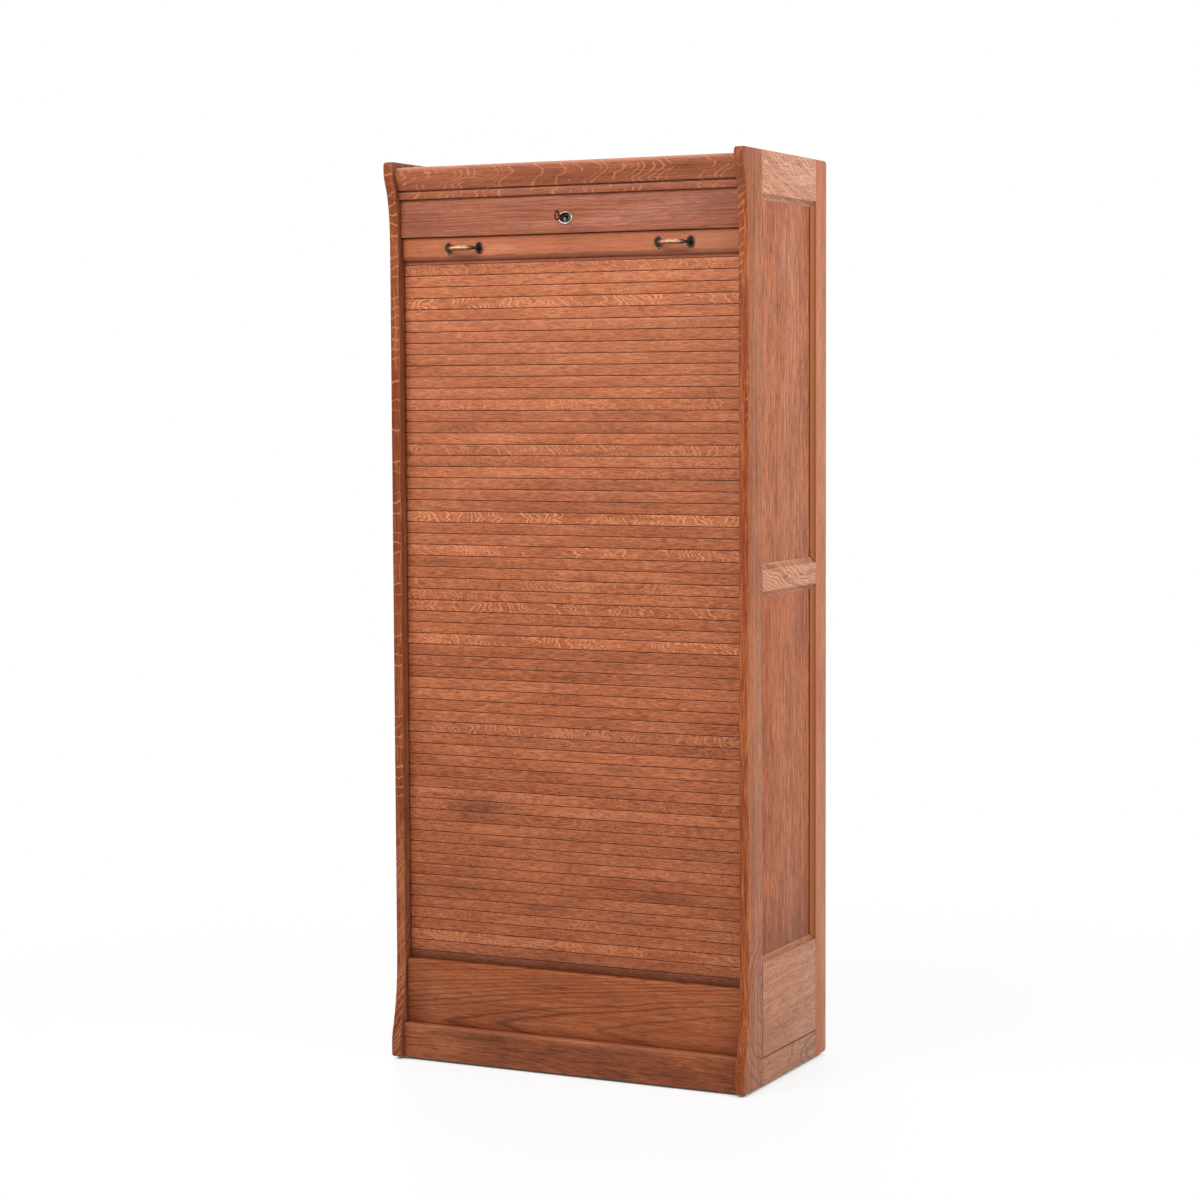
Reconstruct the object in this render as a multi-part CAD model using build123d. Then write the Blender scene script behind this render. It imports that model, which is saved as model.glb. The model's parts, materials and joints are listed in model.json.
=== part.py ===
from build123d import *
import os
from math import cos, floor, pi, sin

os.makedirs("parts", exist_ok=True)

# Tambour-front filing cabinet, in millimetres: X to the right, Y to the rear, Z up.
# The origin is on the floor, in the middle of the footprint of the two sides.

# Whole cabinet
height = 1950.0                 # floor to the top of the sides
width = 840.0                   # outer face to outer face
depth = 456.0                   # tip of the foot flare to the rear edge
side_thickness = 22.0
edge_round = 2.0                # eased front edges of boards
mesh_gap = 0.5                  # room between neighbours that slide or are slipped in

# Curved front edge of the sides
foot_flare = 26.0
head_flare = 25.0
corner_radius = 9.0
foot_nose = 30.0                # height of the straight nose above the foot
foot_ogee = 195.0               # height of the foot's S-curve
head_nose = 20.0
head_ogee = 160.0
foot_ogee_pull = (0.20, 0.33)   # where the curve's two handles lie along its height
head_ogee_pull = (0.19, 0.22)

# Frame and panels of a side
front_stile_face = 73.0
rear_stile_face = 60.0
top_rail_face = 90.0
middle_rail_face = 47.0
middle_rail_low = 1041.0        # height of its lower edge
skirt_top = 63.5
bottom_rail_top = 265.0
bevel_width = 12.0              # sloped moulding round each panel
bevel_depth = 10.0
quirk = 2.5                     # small step between the face and the slope
panel_thickness = 6.0
panel_tongue = 8.0
panel_slack = 1.0               # room for the panel to swell
tenon_length = 20.0
tenon_shoulder = 12.0
mortise_slack = 1.0
seam_chamfer = 1.2

# Front, from the head down
moulding_drop = 12.0            # sides stand above the moulding
ovolo_height = 49.0
ovolo_nose = 13.5               # stands before the straight edge of the sides
ovolo_lean = 1.5                # pull of its foot
nose_radius = 11.0
quirk_height = 4.0
quirk_depth = 4.0
moulding_fillet = 15.0
fillet_setback = 3.0
moulding_thickness = 30.0       # behind the straight edge of the sides
lock_board_height = 81.0
lock_board_thickness = 18.0
lock_board_step = 8.0           # stands before the lift rail
lift_rail_height = 50.0
lift_rail_thickness = 26.0
lift_rail_step = 8.0            # stands before the slats
lift_rail_lip = 7.0
lift_rail_round = 5.0           # lower front edge
rail_shadow = 0.8               # gap between the lock board and the lift rail

# Front, from the foot up
glide_height = 5.0
glide_radius = 9.0
glide_tread = 7.0
glide_inset = 26.0
glide_pin_radius = 1.5
glide_pin_length = 15.0
plinth_height = 75.0
plinth_thickness = 18.5
plinth_round = 5.0
bottom_board_top = 220.0
bottom_board_setback = 8.0
bottom_board_thickness = 16.0
bottom_board_round = 4.0
stub_length = 5.0               # stub tenons of the cross boards in the sides
stub_thickness = 7.0
stub_shoulder = 10.0

# Tambour curtain and its track
curtain_clearance = 2.0         # between the bottom board and the slats
slat_pitch = 24.1
slat_gap = 0.5
slat_thickness = 9.0
slat_round = 1.4
canvas_thickness = 1.0
canvas_margin = 6.0
bend_radius = 80.0
track_floor = 48.0              # height of the run under the deck
track_rear = 25.0               # middle of the rear run, before the rear edge
track_headroom = 6.0
open_gap = 0.5                  # left between the lift rail and the bottom board

# Inside
top_board_thickness = 20.0
deck_thickness = 18.0
deck_drop = 6.0                 # below the top of the bottom board
shelf_count = 4
shelf_thickness = 18.0
shelf_setback = 6.0             # behind the lift rail
cleat_size = 20.0
cleat_margin = 4.0
false_back_thickness = 6.0
false_back_room = 6.0           # before the rear run of the track
batten_size = 12.0
back_board_count = 6
back_board_thickness = 12.0
back_inset = 2.0
back_tongue = 4.0
back_vee = 1.5
back_rail_depth = 20.0
back_rail_room = 5.0            # below the run under the deck

# Wood screws
screw_radius = 1.7
screw_head_radius = 3.4
screw_head_height = 1.8
screw_slot = 0.9
screw_slot_depth = 0.8
screw_bite = 5.0                # length in the second piece
screw_play = 0.1
cleat_screw_inset = 10.0
back_screw_margin = 10.0

# Handles
handle_inset = 151.0            # middle of a handle from the side's inner face
handle_span = 74.0              # foot to foot
handle_reach = 27.0
foot_width = 18.0
foot_height = 26.0
foot_thickness = 3.0
foot_round = 1.0
foot_screw_offset = 8.6
arm_radius = 3.6
grip_half_height = 6.0
grip_half_depth = 4.6
handle_screw_radius = 1.4
handle_screw_head = 2.7
handle_screw_length = 15.0
grip_stations = 8

# Lock and key
lock_drop = 49.5                # middle of the oval below the top of the lock board
ring_width = 33.0
ring_height = 26.0
ring_rim = 2.8
ring_proud = 2.5
ring_wall = 1.0
keyhole_recess = 7.0
key_axis_rise = 2.5             # key stands above the middle of the oval
shank_radius = 2.2
shank_play = 0.3
bit_width = 2.4
bit_reach = 9.0
bit_play = 0.4
bow_radius = 11.0
bow_hole_radius = 7.0
bow_thickness = 3.5
bow_reach = 50.0                # front of the bow before the lock board
collar_radius = 3.6
collar_length = 2.0
collar_gap = 6.0
case_half_width = 26.0
case_above = 24.0
case_below = 31.0
case_wall = 2.0
case_depth = 13.0
flange_reach = 12.0
hub_radius = 6.0
hub_play = 0.05
cam_radius = 12.0
cam_thickness = 4.0
bolt_throw = 10.0
crank_pin_radius = 2.0
yoke_play = 0.45
bolt_half_width = 11.0
bolt_thickness = 4.5
bolt_head = 6.5                 # bolt above the yoke slot's middle
bolt_play = 0.4
bolt_lift = 1.5                 # withdrawn bolt above the strike plate
strike_half_width = 22.0
strike_thickness = 2.0
strike_rim = 2.2
strike_screw_offset = 17.0
lock_screw_length = 14.0

# Places worked out from the sizes above
half_width = width / 2
inner_x = half_width - side_thickness
front_y = foot_flare - depth / 2
rear_y = depth / 2
right_side = (inner_x, half_width)
panel_x = (half_width - bevel_depth - panel_thickness, half_width - bevel_depth)
track_depth = panel_x[0] - inner_x - mesh_gap
front_stile_edge = front_y + front_stile_face
rear_stile_edge = rear_y - rear_stile_face
rail_run = (front_stile_edge, rear_stile_edge)
top_rail_z = (height - top_rail_face, height)
middle_rail_z = (middle_rail_low, middle_rail_low + middle_rail_face)
bottom_rail_z = (skirt_top, bottom_rail_top)
skirt_z = (glide_height, skirt_top)

moulding_top = height - moulding_drop
moulding_bottom = moulding_top - ovolo_height - quirk_height - moulding_fillet
lock_board_z = (moulding_bottom - lock_board_height, moulding_bottom)
lift_rail_top = lock_board_z[0] - rail_shadow
lift_rail_bottom = lift_rail_top - lift_rail_height
curtain_top = lift_rail_bottom - lift_rail_lip
plinth_z = (glide_height, glide_height + plinth_height)
bottom_board_z = (glide_height, bottom_board_top)

bottom_board_front = front_y + bottom_board_setback
bottom_board_back = bottom_board_front + bottom_board_thickness
slat_front = bottom_board_back + curtain_clearance
slat_back = slat_front + slat_thickness
lift_rail_front = slat_front - lift_rail_step
lift_rail_back = lift_rail_front + lift_rail_thickness
lock_board_front = lift_rail_front - lock_board_step
lock_board_back = lock_board_front + lock_board_thickness
track_front_middle = (slat_front + slat_back) / 2
track_rear_middle = rear_y - track_rear
track_half = slat_thickness / 2 + mesh_gap
track_top = lift_rail_top + track_headroom
slat_half_length = inner_x + track_depth - mesh_gap
slat_count = floor((curtain_top - track_floor - bend_radius) / slat_pitch)
curtain_bottom = curtain_top - slat_count * slat_pitch
shutter_travel = lift_rail_bottom - bottom_board_top - open_gap

deck_top = bottom_board_top - deck_drop
deck_bottom = deck_top - deck_thickness
top_board_z = (moulding_top - top_board_thickness, moulding_top)
back_boards_y = (rear_y - back_inset - back_board_thickness, rear_y - back_inset)
false_back_front = track_rear_middle - track_half - false_back_room - false_back_thickness
batten_front = false_back_front - batten_size
store_front = lift_rail_back + shelf_setback
store_back = batten_front - mesh_gap
cleat_y = (store_front + cleat_margin, store_back - cleat_margin)
shelf_rise = (lock_board_z[0] - deck_top) / (shelf_count + 1)
shelf_tops = [deck_top + shelf_rise * (n + 1) for n in range(shelf_count)]
cleat_tops = [deck_bottom] + [top - shelf_thickness for top in shelf_tops]

lock_centre = moulding_bottom - lock_drop
key_axis = lock_centre + key_axis_rise
case_y = (lock_board_back, lock_board_back + case_depth)
case_z = (key_axis - case_below, key_axis + case_above)
cam_y = (case_y[0] + case_wall + mesh_gap, case_y[0] + case_wall + mesh_gap + cam_thickness)
bolt_y = (cam_y[1] + mesh_gap, cam_y[1] + mesh_gap + bolt_thickness)
bolt_low = lift_rail_top + bolt_lift
crank = bolt_throw / 2


def block(x_span, y_span, z_span):
    """A board between two corners."""
    spans = (x_span, y_span, z_span)
    middle = [(low + high) / 2 for low, high in spans]
    return Pos(*middle) * Box(*[high - low for low, high in spans])


def prism(face, x_span):
    """A Y-Z outline carried from one X plane to another."""
    return extrude(Plane.YZ.offset(x_span[0]) * face, amount=x_span[1] - x_span[0])


def rod(start, end, radius):
    """A round bar between two points."""
    run = Vector(*end) - Vector(*start)
    return Plane(start, z_dir=run) * Cylinder(
        radius, run.length, align=(Align.CENTER, Align.CENTER, Align.MIN)
    )


def outline(*edges):
    return make_face(Curve() + list(edges))


def both_sides(piece):
    return [piece, mirror(piece, about=Plane.YZ)]


def screw(head_seat, direction, length, radius, head_radius):
    """A slotted round-head wood screw: its head stands on head_seat, its shank runs along direction."""
    seat = Vector(*head_seat)
    way = Vector(*direction).normalized()
    crown = seat - way * screw_head_height
    shank = rod(seat, seat + way * length, radius)
    head = rod(crown, seat, head_radius)
    head = fillet(head.edges().sort_by(lambda e: (e.center() - crown).length)[0], screw_head_height / 2)
    slot = Plane(crown, z_dir=way) * Box(2 * head_radius, screw_slot, 2 * screw_slot_depth)
    return head + shank - slot


def screw_hole(head_seat, direction, length, radius):
    """The hole that such a screw's shank runs in."""
    seat = Vector(*head_seat)
    way = Vector(*direction).normalized()
    return rod(seat, seat + way * (length + screw_play), radius + screw_play)


def handed(name, piece):
    """The right-hand piece and its mirror image on the left side."""
    pieces["right_" + name] = piece
    pieces["left_" + name] = mirror(piece, about=Plane.YZ)


pieces = {}

# Screws of the cleats, placed first so that their holes can be cut in the sides
cleat_inner_x = inner_x - cleat_size
cleat_screw_length = cleat_size + screw_bite
cleat_screw_seats = [
    (cleat_inner_x, y, top - cleat_size / 2)
    for top in cleat_tops
    for y in (cleat_y[0] + cleat_screw_inset, cleat_y[1] - cleat_screw_inset)
]
cleat_holes = [screw_hole(s, (1, 0, 0), cleat_screw_length, screw_radius) for s in cleat_screw_seats]

# U-shaped track: down the front, under the deck and up behind the false back
track_span = (track_front_middle, track_rear_middle)


def track_outline(grow):
    """The loop inside or outside the track's middle line by grow, open at the head."""
    low_y, high_y = track_span[0] - grow, track_span[1] + grow
    low_z, bend = track_floor - grow, bend_radius + grow
    return outline(
        Line((low_y, track_top), (low_y, low_z + bend)),
        TangentArc((low_y, low_z + bend), (low_y + bend, low_z), tangent=(0, -1)),
        Line((low_y + bend, low_z), (high_y - bend, low_z)),
        TangentArc((high_y - bend, low_z), (high_y, low_z + bend), tangent=(1, 0)),
        Line((high_y, low_z + bend), (high_y, track_top)),
        Line((high_y, track_top), (low_y, track_top)),
    )


track = prism(track_outline(track_half) - track_outline(-track_half), (inner_x, inner_x + track_depth))

# Cross boards end in stub tenons that the sides take up
moulding_y = (front_y + fillet_setback + quirk_depth, front_y + moulding_thickness)
lock_board_y = (lock_board_front, lock_board_back)
bottom_board_y = (bottom_board_front, bottom_board_back)
top_board_y = (moulding_y[1], back_boards_y[0])
back_rail_y = (back_boards_y[0] - back_rail_depth, back_boards_y[0])
back_rail_z = (glide_height, track_floor - track_half - back_rail_room)


def upright_stub(y_span, z_span):
    """Stub tenon on the right end of a board that stands on edge."""
    middle = sum(y_span) / 2
    return block(
        (inner_x, inner_x + stub_length),
        (middle - stub_thickness / 2, middle + stub_thickness / 2),
        (z_span[0] + stub_shoulder, z_span[1] - stub_shoulder),
    )


def lying_stub(y_span, z_span):
    """Tongue on the right edge of a board that lies flat."""
    middle = sum(z_span) / 2
    return block(
        (inner_x, inner_x + stub_length),
        (y_span[0] + stub_shoulder, y_span[1] - stub_shoulder),
        (middle - stub_thickness / 2, middle + stub_thickness / 2),
    )


moulding_stub = upright_stub(moulding_y, (moulding_bottom, moulding_top - top_board_thickness))
lock_board_stub = upright_stub(lock_board_y, lock_board_z)
bottom_board_stub = upright_stub(bottom_board_y, bottom_board_z)
top_board_stub = lying_stub(top_board_y, top_board_z)
back_rail_stub = upright_stub(back_rail_y, back_rail_z)
stubs = [moulding_stub, lock_board_stub, bottom_board_stub, top_board_stub, back_rail_stub]

# Panel openings of a side, measured between the faces of its stiles and rails
openings = {
    "upper": (rail_run, (middle_rail_z[1], top_rail_z[0])),
    "lower": (rail_run, (bottom_rail_z[1], middle_rail_z[0])),
}


def grown(span, by):
    return (span[0] - by, span[1] + by)


def panel_block(opening, reach):
    """The panel, or its groove, reaching past the sight line."""
    y_span, z_span = opening
    return block(panel_x, grown(y_span, reach - bevel_width), grown(z_span, reach - bevel_width))


def slab(opening, inset, x):
    """The opening's rectangle, drawn in by inset, on the plane at x."""
    y_span, z_span = (grown(span, -inset) for span in opening)
    corners = Rectangle(y_span[1] - y_span[0], z_span[1] - z_span[0])
    return Plane.YZ.offset(x) * Pos(sum(y_span) / 2, sum(z_span) / 2) * corners


def sticking(opening):
    """The four mitred, sloped bars round an opening, named by the member that each is cut on."""
    y_span, z_span = opening
    rim = [(y_span[a], z_span[b]) for a, b in ((0, 0), (1, 0), (1, 1), (0, 1))]
    inset_y, inset_z = grown(y_span, -bevel_width), grown(z_span, -bevel_width)
    sight = [(inset_y[a], inset_z[b]) for a, b in ((0, 0), (1, 0), (1, 1), (0, 1))]
    step = block((half_width - quirk, half_width), y_span, z_span)
    slope = loft(
        [slab(opening, 0, half_width - quirk), slab(opening, bevel_width, half_width - bevel_depth)],
        ruled=True,
    )
    groove = panel_block(opening, panel_tongue)
    bars = {}
    for start, member in enumerate(("below", "rear", "above", "front")):
        end = (start + 1) % len(rim)
        ring = Polyline(rim[start], rim[end], sight[end], sight[start], close=True)
        bars[member] = prism(make_face(ring), right_side) - step - slope - groove
    return bars


sticks = {name: sticking(opening) for name, opening in openings.items()}


def tenon(edge, length, z_span):
    """A rail's tenon, running from the edge of a stile into it."""
    y_span = (min(edge, edge + length), max(edge, edge + length))
    return block(panel_x, y_span, grown(z_span, -tenon_shoulder))


rail_spans = {
    "top_rail": top_rail_z,
    "middle_rail": middle_rail_z,
    "bottom_rail": bottom_rail_z,
    "skirt_board": skirt_z,
}
rail_bars = {
    "top_rail": [sticks["upper"]["above"]],
    "middle_rail": [sticks["upper"]["below"], sticks["lower"]["above"]],
    "bottom_rail": [sticks["lower"]["below"]],
    "skirt_board": [],
}
mortise_length = tenon_length + mortise_slack


def seam_edges(piece):
    """The outer lengthwise edges at the seam between the bottom rail and the skirt board."""
    return [
        e for e in piece.edges().filter_by(Axis.Y)
        if abs(e.center().Z - skirt_top) < quirk and abs(e.center().X - half_width) < quirk
    ]


# Stiles
front_outline = outline(
    Line((front_stile_edge, glide_height), (front_y - foot_flare + corner_radius, glide_height)),
    TangentArc(
        (front_y - foot_flare + corner_radius, glide_height),
        (front_y - foot_flare, glide_height + corner_radius),
        tangent=(-1, 0),
    ),
    Line(
        (front_y - foot_flare, glide_height + corner_radius),
        (front_y - foot_flare, glide_height + foot_nose),
    ),
    Bezier(
        (front_y - foot_flare, glide_height + foot_nose),
        (front_y - foot_flare, glide_height + foot_nose + foot_ogee * foot_ogee_pull[0]),
        (front_y, glide_height + foot_nose + foot_ogee * foot_ogee_pull[1]),
        (front_y, glide_height + foot_nose + foot_ogee),
    ),
    Line((front_y, glide_height + foot_nose + foot_ogee), (front_y, height - head_nose - head_ogee)),
    Bezier(
        (front_y, height - head_nose - head_ogee),
        (front_y, height - head_nose - head_ogee * head_ogee_pull[1]),
        (front_y - head_flare, height - head_nose - head_ogee * head_ogee_pull[0]),
        (front_y - head_flare, height - head_nose),
    ),
    Line((front_y - head_flare, height - head_nose), (front_y - head_flare, height - corner_radius)),
    TangentArc(
        (front_y - head_flare, height - corner_radius),
        (front_y - head_flare + corner_radius, height),
        tangent=(0, 1),
    ),
    Line((front_y - head_flare + corner_radius, height), (front_stile_edge, height)),
    Line((front_stile_edge, height), (front_stile_edge, glide_height)),
)
rear_outline = outline(
    Line((rear_stile_edge, glide_height), (rear_y - corner_radius, glide_height)),
    TangentArc(
        (rear_y - corner_radius, glide_height), (rear_y, glide_height + corner_radius), tangent=(1, 0)
    ),
    Line((rear_y, glide_height + corner_radius), (rear_y, height - corner_radius)),
    TangentArc((rear_y, height - corner_radius), (rear_y - corner_radius, height), tangent=(0, 1)),
    Line((rear_y - corner_radius, height), (rear_stile_edge, height)),
    Line((rear_stile_edge, height), (rear_stile_edge, glide_height)),
)
glide_x = half_width - side_thickness / 2
glide_spots = [(glide_x, y) for y in (front_y - foot_flare + glide_inset, rear_y - glide_inset)]
glide_pin_top = glide_height + glide_pin_length
glide_pin_holes = [
    rod((x, y, glide_height), (x, y, glide_pin_top + screw_play), glide_pin_radius + screw_play)
    for x, y in glide_spots
]


def stile(face, edge, inward, member):
    """A stile with its mitred bars, mortises, track, housings and holes."""
    piece = prism(face, right_side)
    for bars in sticks.values():
        piece += bars[member]
    cuts = [tenon(edge, inward * mortise_length, span) for span in rail_spans.values()]
    return piece - cuts - [track] - stubs - cleat_holes - glide_pin_holes


handed("front_stile", stile(front_outline, front_stile_edge, -1, "front"))
handed("rear_stile", stile(rear_outline, rear_stile_edge, 1, "rear"))

# Rails and skirt board
for name, span in rail_spans.items():
    rail = block(right_side, rail_run, span)
    for bar in rail_bars[name]:
        rail += bar
    rail += tenon(front_stile_edge, -tenon_length, span)
    rail += tenon(rear_stile_edge, tenon_length, span)
    rail = rail - [track] - stubs - cleat_holes
    if seam_edges(rail):
        rail = chamfer(seam_edges(rail), seam_chamfer)
    handed(name, rail)

# Panels
for name, opening in openings.items():
    handed(name + "_panel", panel_block(opening, panel_tongue - panel_slack))

# Head of the front: moulding and lock board
board_x = (-inner_x, inner_x)
nose_y = front_y - ovolo_nose
nose_z = moulding_top - nose_radius
ovolo_foot = moulding_top - ovolo_height
quirk_foot = ovolo_foot - quirk_height
fillet_y = front_y + fillet_setback
moulding_outline = outline(
    Line((moulding_y[1], moulding_top), (nose_y + nose_radius, moulding_top)),
    TangentArc((nose_y + nose_radius, moulding_top), (nose_y, nose_z), tangent=(-1, 0)),
    Bezier(
        (nose_y, nose_z),
        (nose_y, nose_z - nose_radius),
        (front_y - ovolo_lean, ovolo_foot + nose_radius),
        (front_y, ovolo_foot),
    ),
    Line((front_y, ovolo_foot), (fillet_y + quirk_depth, ovolo_foot)),
    Line((fillet_y + quirk_depth, ovolo_foot), (fillet_y + quirk_depth, quirk_foot)),
    Line((fillet_y + quirk_depth, quirk_foot), (fillet_y, quirk_foot)),
    Line((fillet_y, quirk_foot), (fillet_y, moulding_bottom)),
    Line((fillet_y, moulding_bottom), (moulding_y[1], moulding_bottom)),
    Line((moulding_y[1], moulding_bottom), (moulding_y[1], moulding_top)),
)
pieces["top_moulding"] = prism(moulding_outline, board_x) + both_sides(moulding_stub)

oval = {
    "rim": Ellipse(ring_width / 2, ring_height / 2),
    "sleeve": Ellipse(ring_width / 2 - ring_rim + ring_wall, ring_height / 2 - ring_rim + ring_wall),
    "mouth": Ellipse(ring_width / 2 - ring_rim, ring_height / 2 - ring_rim),
    "boss": Ellipse(ring_width / 2 - ring_rim - screw_play, ring_height / 2 - ring_rim - screw_play),
}


def along_y(face, y_span, z):
    """An X-Z outline round the lock's middle line, carried from one Y plane to another."""
    plane = Plane((0, y_span[1], z), x_dir=(1, 0, 0), z_dir=(0, -1, 0))
    return extrude(plane * face, amount=y_span[1] - y_span[0])


flange_half_width = case_half_width + flange_reach
lock_screw_x = case_half_width + flange_reach / 2
lock_screw_z = (case_z[0] + flange_reach, case_z[1] - flange_reach)
lock_screw_seats = [
    (x, case_y[0] + case_wall, z) for x in (-lock_screw_x, lock_screw_x) for z in lock_screw_z
]
lock_screw_holes = [screw_hole(s, (0, -1, 0), lock_screw_length, screw_radius) for s in lock_screw_seats]
lock_board = block(board_x, lock_board_y, lock_board_z) + both_sides(lock_board_stub)
lock_hole = Ellipse(
    ring_width / 2 - ring_rim + ring_wall + screw_play, ring_height / 2 - ring_rim + ring_wall + screw_play
)
pieces["lock_board"] = lock_board - along_y(lock_hole, lock_board_y, lock_centre) - lock_screw_holes

# Foot of the front: bottom board and plinth
bottom_board = block(board_x, bottom_board_y, bottom_board_z)
bottom_board_edge = bottom_board.edges().filter_by(Axis.X).sort_by(lambda e: e.center().Y - e.center().Z)[0]
pieces["bottom_board"] = fillet(bottom_board_edge, bottom_board_round) + both_sides(bottom_board_stub)
plinth = block(board_x, (bottom_board_front - plinth_thickness, bottom_board_front), plinth_z)
plinth_edge = plinth.edges().filter_by(Axis.X).sort_by(lambda e: e.center().Y - e.center().Z)[0]
pieces["plinth"] = fillet(plinth_edge, plinth_round)

# Glides nailed under the sides
glide = Cone(glide_tread, glide_radius, glide_height, align=(Align.CENTER, Align.CENTER, Align.MIN))
glide += rod((0, 0, glide_height / 2), (0, 0, glide_pin_top), glide_pin_radius)
glides = [Pos(x, y, 0) * glide for x, y in glide_spots]
pieces["glides"] = Compound(children=glides + [mirror(g, about=Plane.YZ) for g in glides])

# Top board, deck and backs
top_board = block(board_x, top_board_y, top_board_z) + both_sides(top_board_stub)
back_rail = block(board_x, back_rail_y, back_rail_z) + both_sides(back_rail_stub)
store_x = grown(board_x, -mesh_gap)
false_back_y = (false_back_front, false_back_front + false_back_thickness)
pieces["false_back"] = block(store_x, false_back_y, (deck_bottom, top_board_z[0]))
batten_x = (inner_x - batten_size, inner_x)
batten = block(batten_x, (batten_front, false_back_front), (deck_bottom, top_board_z[0]))
pieces["false_back_battens"] = Compound(children=both_sides(batten))
deck = block(store_x, (store_front, false_back_front), (deck_bottom, deck_top))
notch = block(grown(batten_x, mesh_gap), (store_back, false_back_front), (deck_bottom, deck_top))
pieces["deck"] = deck - both_sides(notch)

# Back of upright boards, tongued together, with a vee at each joint
back_pitch = 2 * inner_x / back_board_count
back_z = (glide_height, moulding_top)
tongue_y = grown(back_boards_y, -back_board_thickness / 3)
back_boards = []
back_screw_seats = []
for n in range(back_board_count):
    low_x = -inner_x + n * back_pitch
    board = block((low_x, low_x + back_pitch), back_boards_y, back_z)
    vees = [e for e in board.edges().filter_by(Axis.Z) if e.center().Y > back_boards_y[0] + back_vee]
    board = chamfer(vees, back_vee)
    if n > 0:
        board -= block((low_x, low_x + back_tongue + mesh_gap), tongue_y, back_z)
    if n < back_board_count - 1:
        board += block((low_x + back_pitch, low_x + back_pitch + back_tongue), tongue_y, back_z)
    for z in (sum(back_rail_z) / 2, sum(top_board_z) / 2):
        back_screw_seats.append((low_x + back_pitch / 2, back_boards_y[1], z))
    back_boards.append(board)
back_screw_length = back_board_thickness + back_screw_margin
back_holes = [screw_hole(s, (0, -1, 0), back_screw_length, screw_radius) for s in back_screw_seats]
pieces["back_boards"] = Compound(children=[board - back_holes for board in back_boards])
pieces["back_screws"] = Compound(
    children=[
        screw(s, (0, -1, 0), back_screw_length, screw_radius, screw_head_radius)
        for s in back_screw_seats
    ]
)
pieces["top_board"] = top_board - back_holes
pieces["back_rail"] = back_rail - back_holes

# Shelves on cleats
for n, top in enumerate(shelf_tops, start=1):
    shelf = block(store_x, (store_front, store_back), (top - shelf_thickness, top))
    front_edges = shelf.edges().filter_by(Axis.X).sort_by(Axis.Y)[:2]
    pieces[f"shelf_{n}"] = fillet(front_edges, edge_round)
cleats = [
    block((cleat_inner_x, inner_x), cleat_y, (top - cleat_size, top)) - cleat_holes for top in cleat_tops
]
cleat_screws = [
    screw(s, (1, 0, 0), cleat_screw_length, screw_radius, screw_head_radius) for s in cleat_screw_seats
]
pieces["cleats"] = Compound(children=[side for cleat in cleats for side in both_sides(cleat)])
pieces["cleat_screws"] = Compound(children=[side for s in cleat_screws for side in both_sides(s)])

# Tambour curtain: slats glued to canvas
slat_x = (-slat_half_length, slat_half_length)
top_slat_z = (curtain_top - slat_pitch + slat_gap, curtain_top - slat_gap)
top_slat = block(slat_x, (slat_front, slat_back), top_slat_z)
top_slat = fillet(top_slat.edges().filter_by(Axis.X).sort_by(Axis.Y)[:2], slat_round)
pieces["tambour_slats"] = Compound(
    children=[Pos(0, 0, -n * slat_pitch) * top_slat for n in range(slat_count)]
)
pieces["tambour_canvas"] = block(
    grown(board_x, -canvas_margin),
    (slat_back, slat_back + canvas_thickness),
    (curtain_bottom + slat_gap, lift_rail_bottom - slat_gap),
)

# Lift rail with its lip, its end tongues and the pocket for the bolt
rail_x = grown(board_x, -mesh_gap)
rail_z = (lift_rail_bottom, lift_rail_top)
lift_rail = block(rail_x, (lift_rail_front, lift_rail_back), rail_z)
rail_edges = lift_rail.edges().filter_by(Axis.X).group_by(Axis.Y)[0].sort_by(Axis.Z)
lift_rail = fillet(rail_edges[0], lift_rail_round)
lift_rail = fillet(lift_rail.edges().filter_by(Axis.X).group_by(Axis.Y)[0].sort_by(Axis.Z)[-1], edge_round)
lift_rail += block(rail_x, (slat_front, slat_back), (curtain_top, lift_rail_bottom))
lift_rail += block(slat_x, (slat_front, slat_back), (curtain_top, lift_rail_top))
strike_y = (bolt_y[0] - strike_rim, bolt_y[1] + strike_rim)
strike_x = (-strike_half_width, strike_half_width)
strike = block(strike_x, strike_y, (lift_rail_top - strike_thickness, lift_rail_top))
pocket_x = (-bolt_half_width - bolt_play, bolt_half_width + bolt_play)
pocket_floor = lift_rail_top - bolt_throw
pocket = block(pocket_x, grown(bolt_y, bolt_play), (pocket_floor, lift_rail_top))
strike_seats = [(x, sum(bolt_y) / 2, lift_rail_top) for x in (-strike_screw_offset, strike_screw_offset)]
strike_bore = [
    rod(s, (s[0], s[1], s[2] - strike_thickness), handle_screw_head + screw_play) for s in strike_seats
]
strike_screw_length = handle_screw_length - strike_thickness
strike_screws = []
strike_screw_holes = []
for x, y, z in strike_seats:
    head_top = (x, y, z)
    head_foot = (x, y, z - strike_thickness)
    tip = (x, y, z - strike_thickness - strike_screw_length)
    head = rod(head_top, head_foot, handle_screw_head)
    strike_screws.append(head + rod(head_foot, tip, handle_screw_radius))
    strike_screw_holes.append(screw_hole(head_foot, (0, 0, -1), strike_screw_length, handle_screw_radius))
pieces["strike_plate"] = strike - pocket - strike_bore
pieces["strike_screws"] = Compound(children=strike_screws)

# Bow handles on two oval feet
handle_offset = inner_x - handle_inset
handle_z = (lift_rail_top + lift_rail_bottom) / 2
foot_front = lift_rail_front - foot_thickness
handle_screw_seats = []


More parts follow.
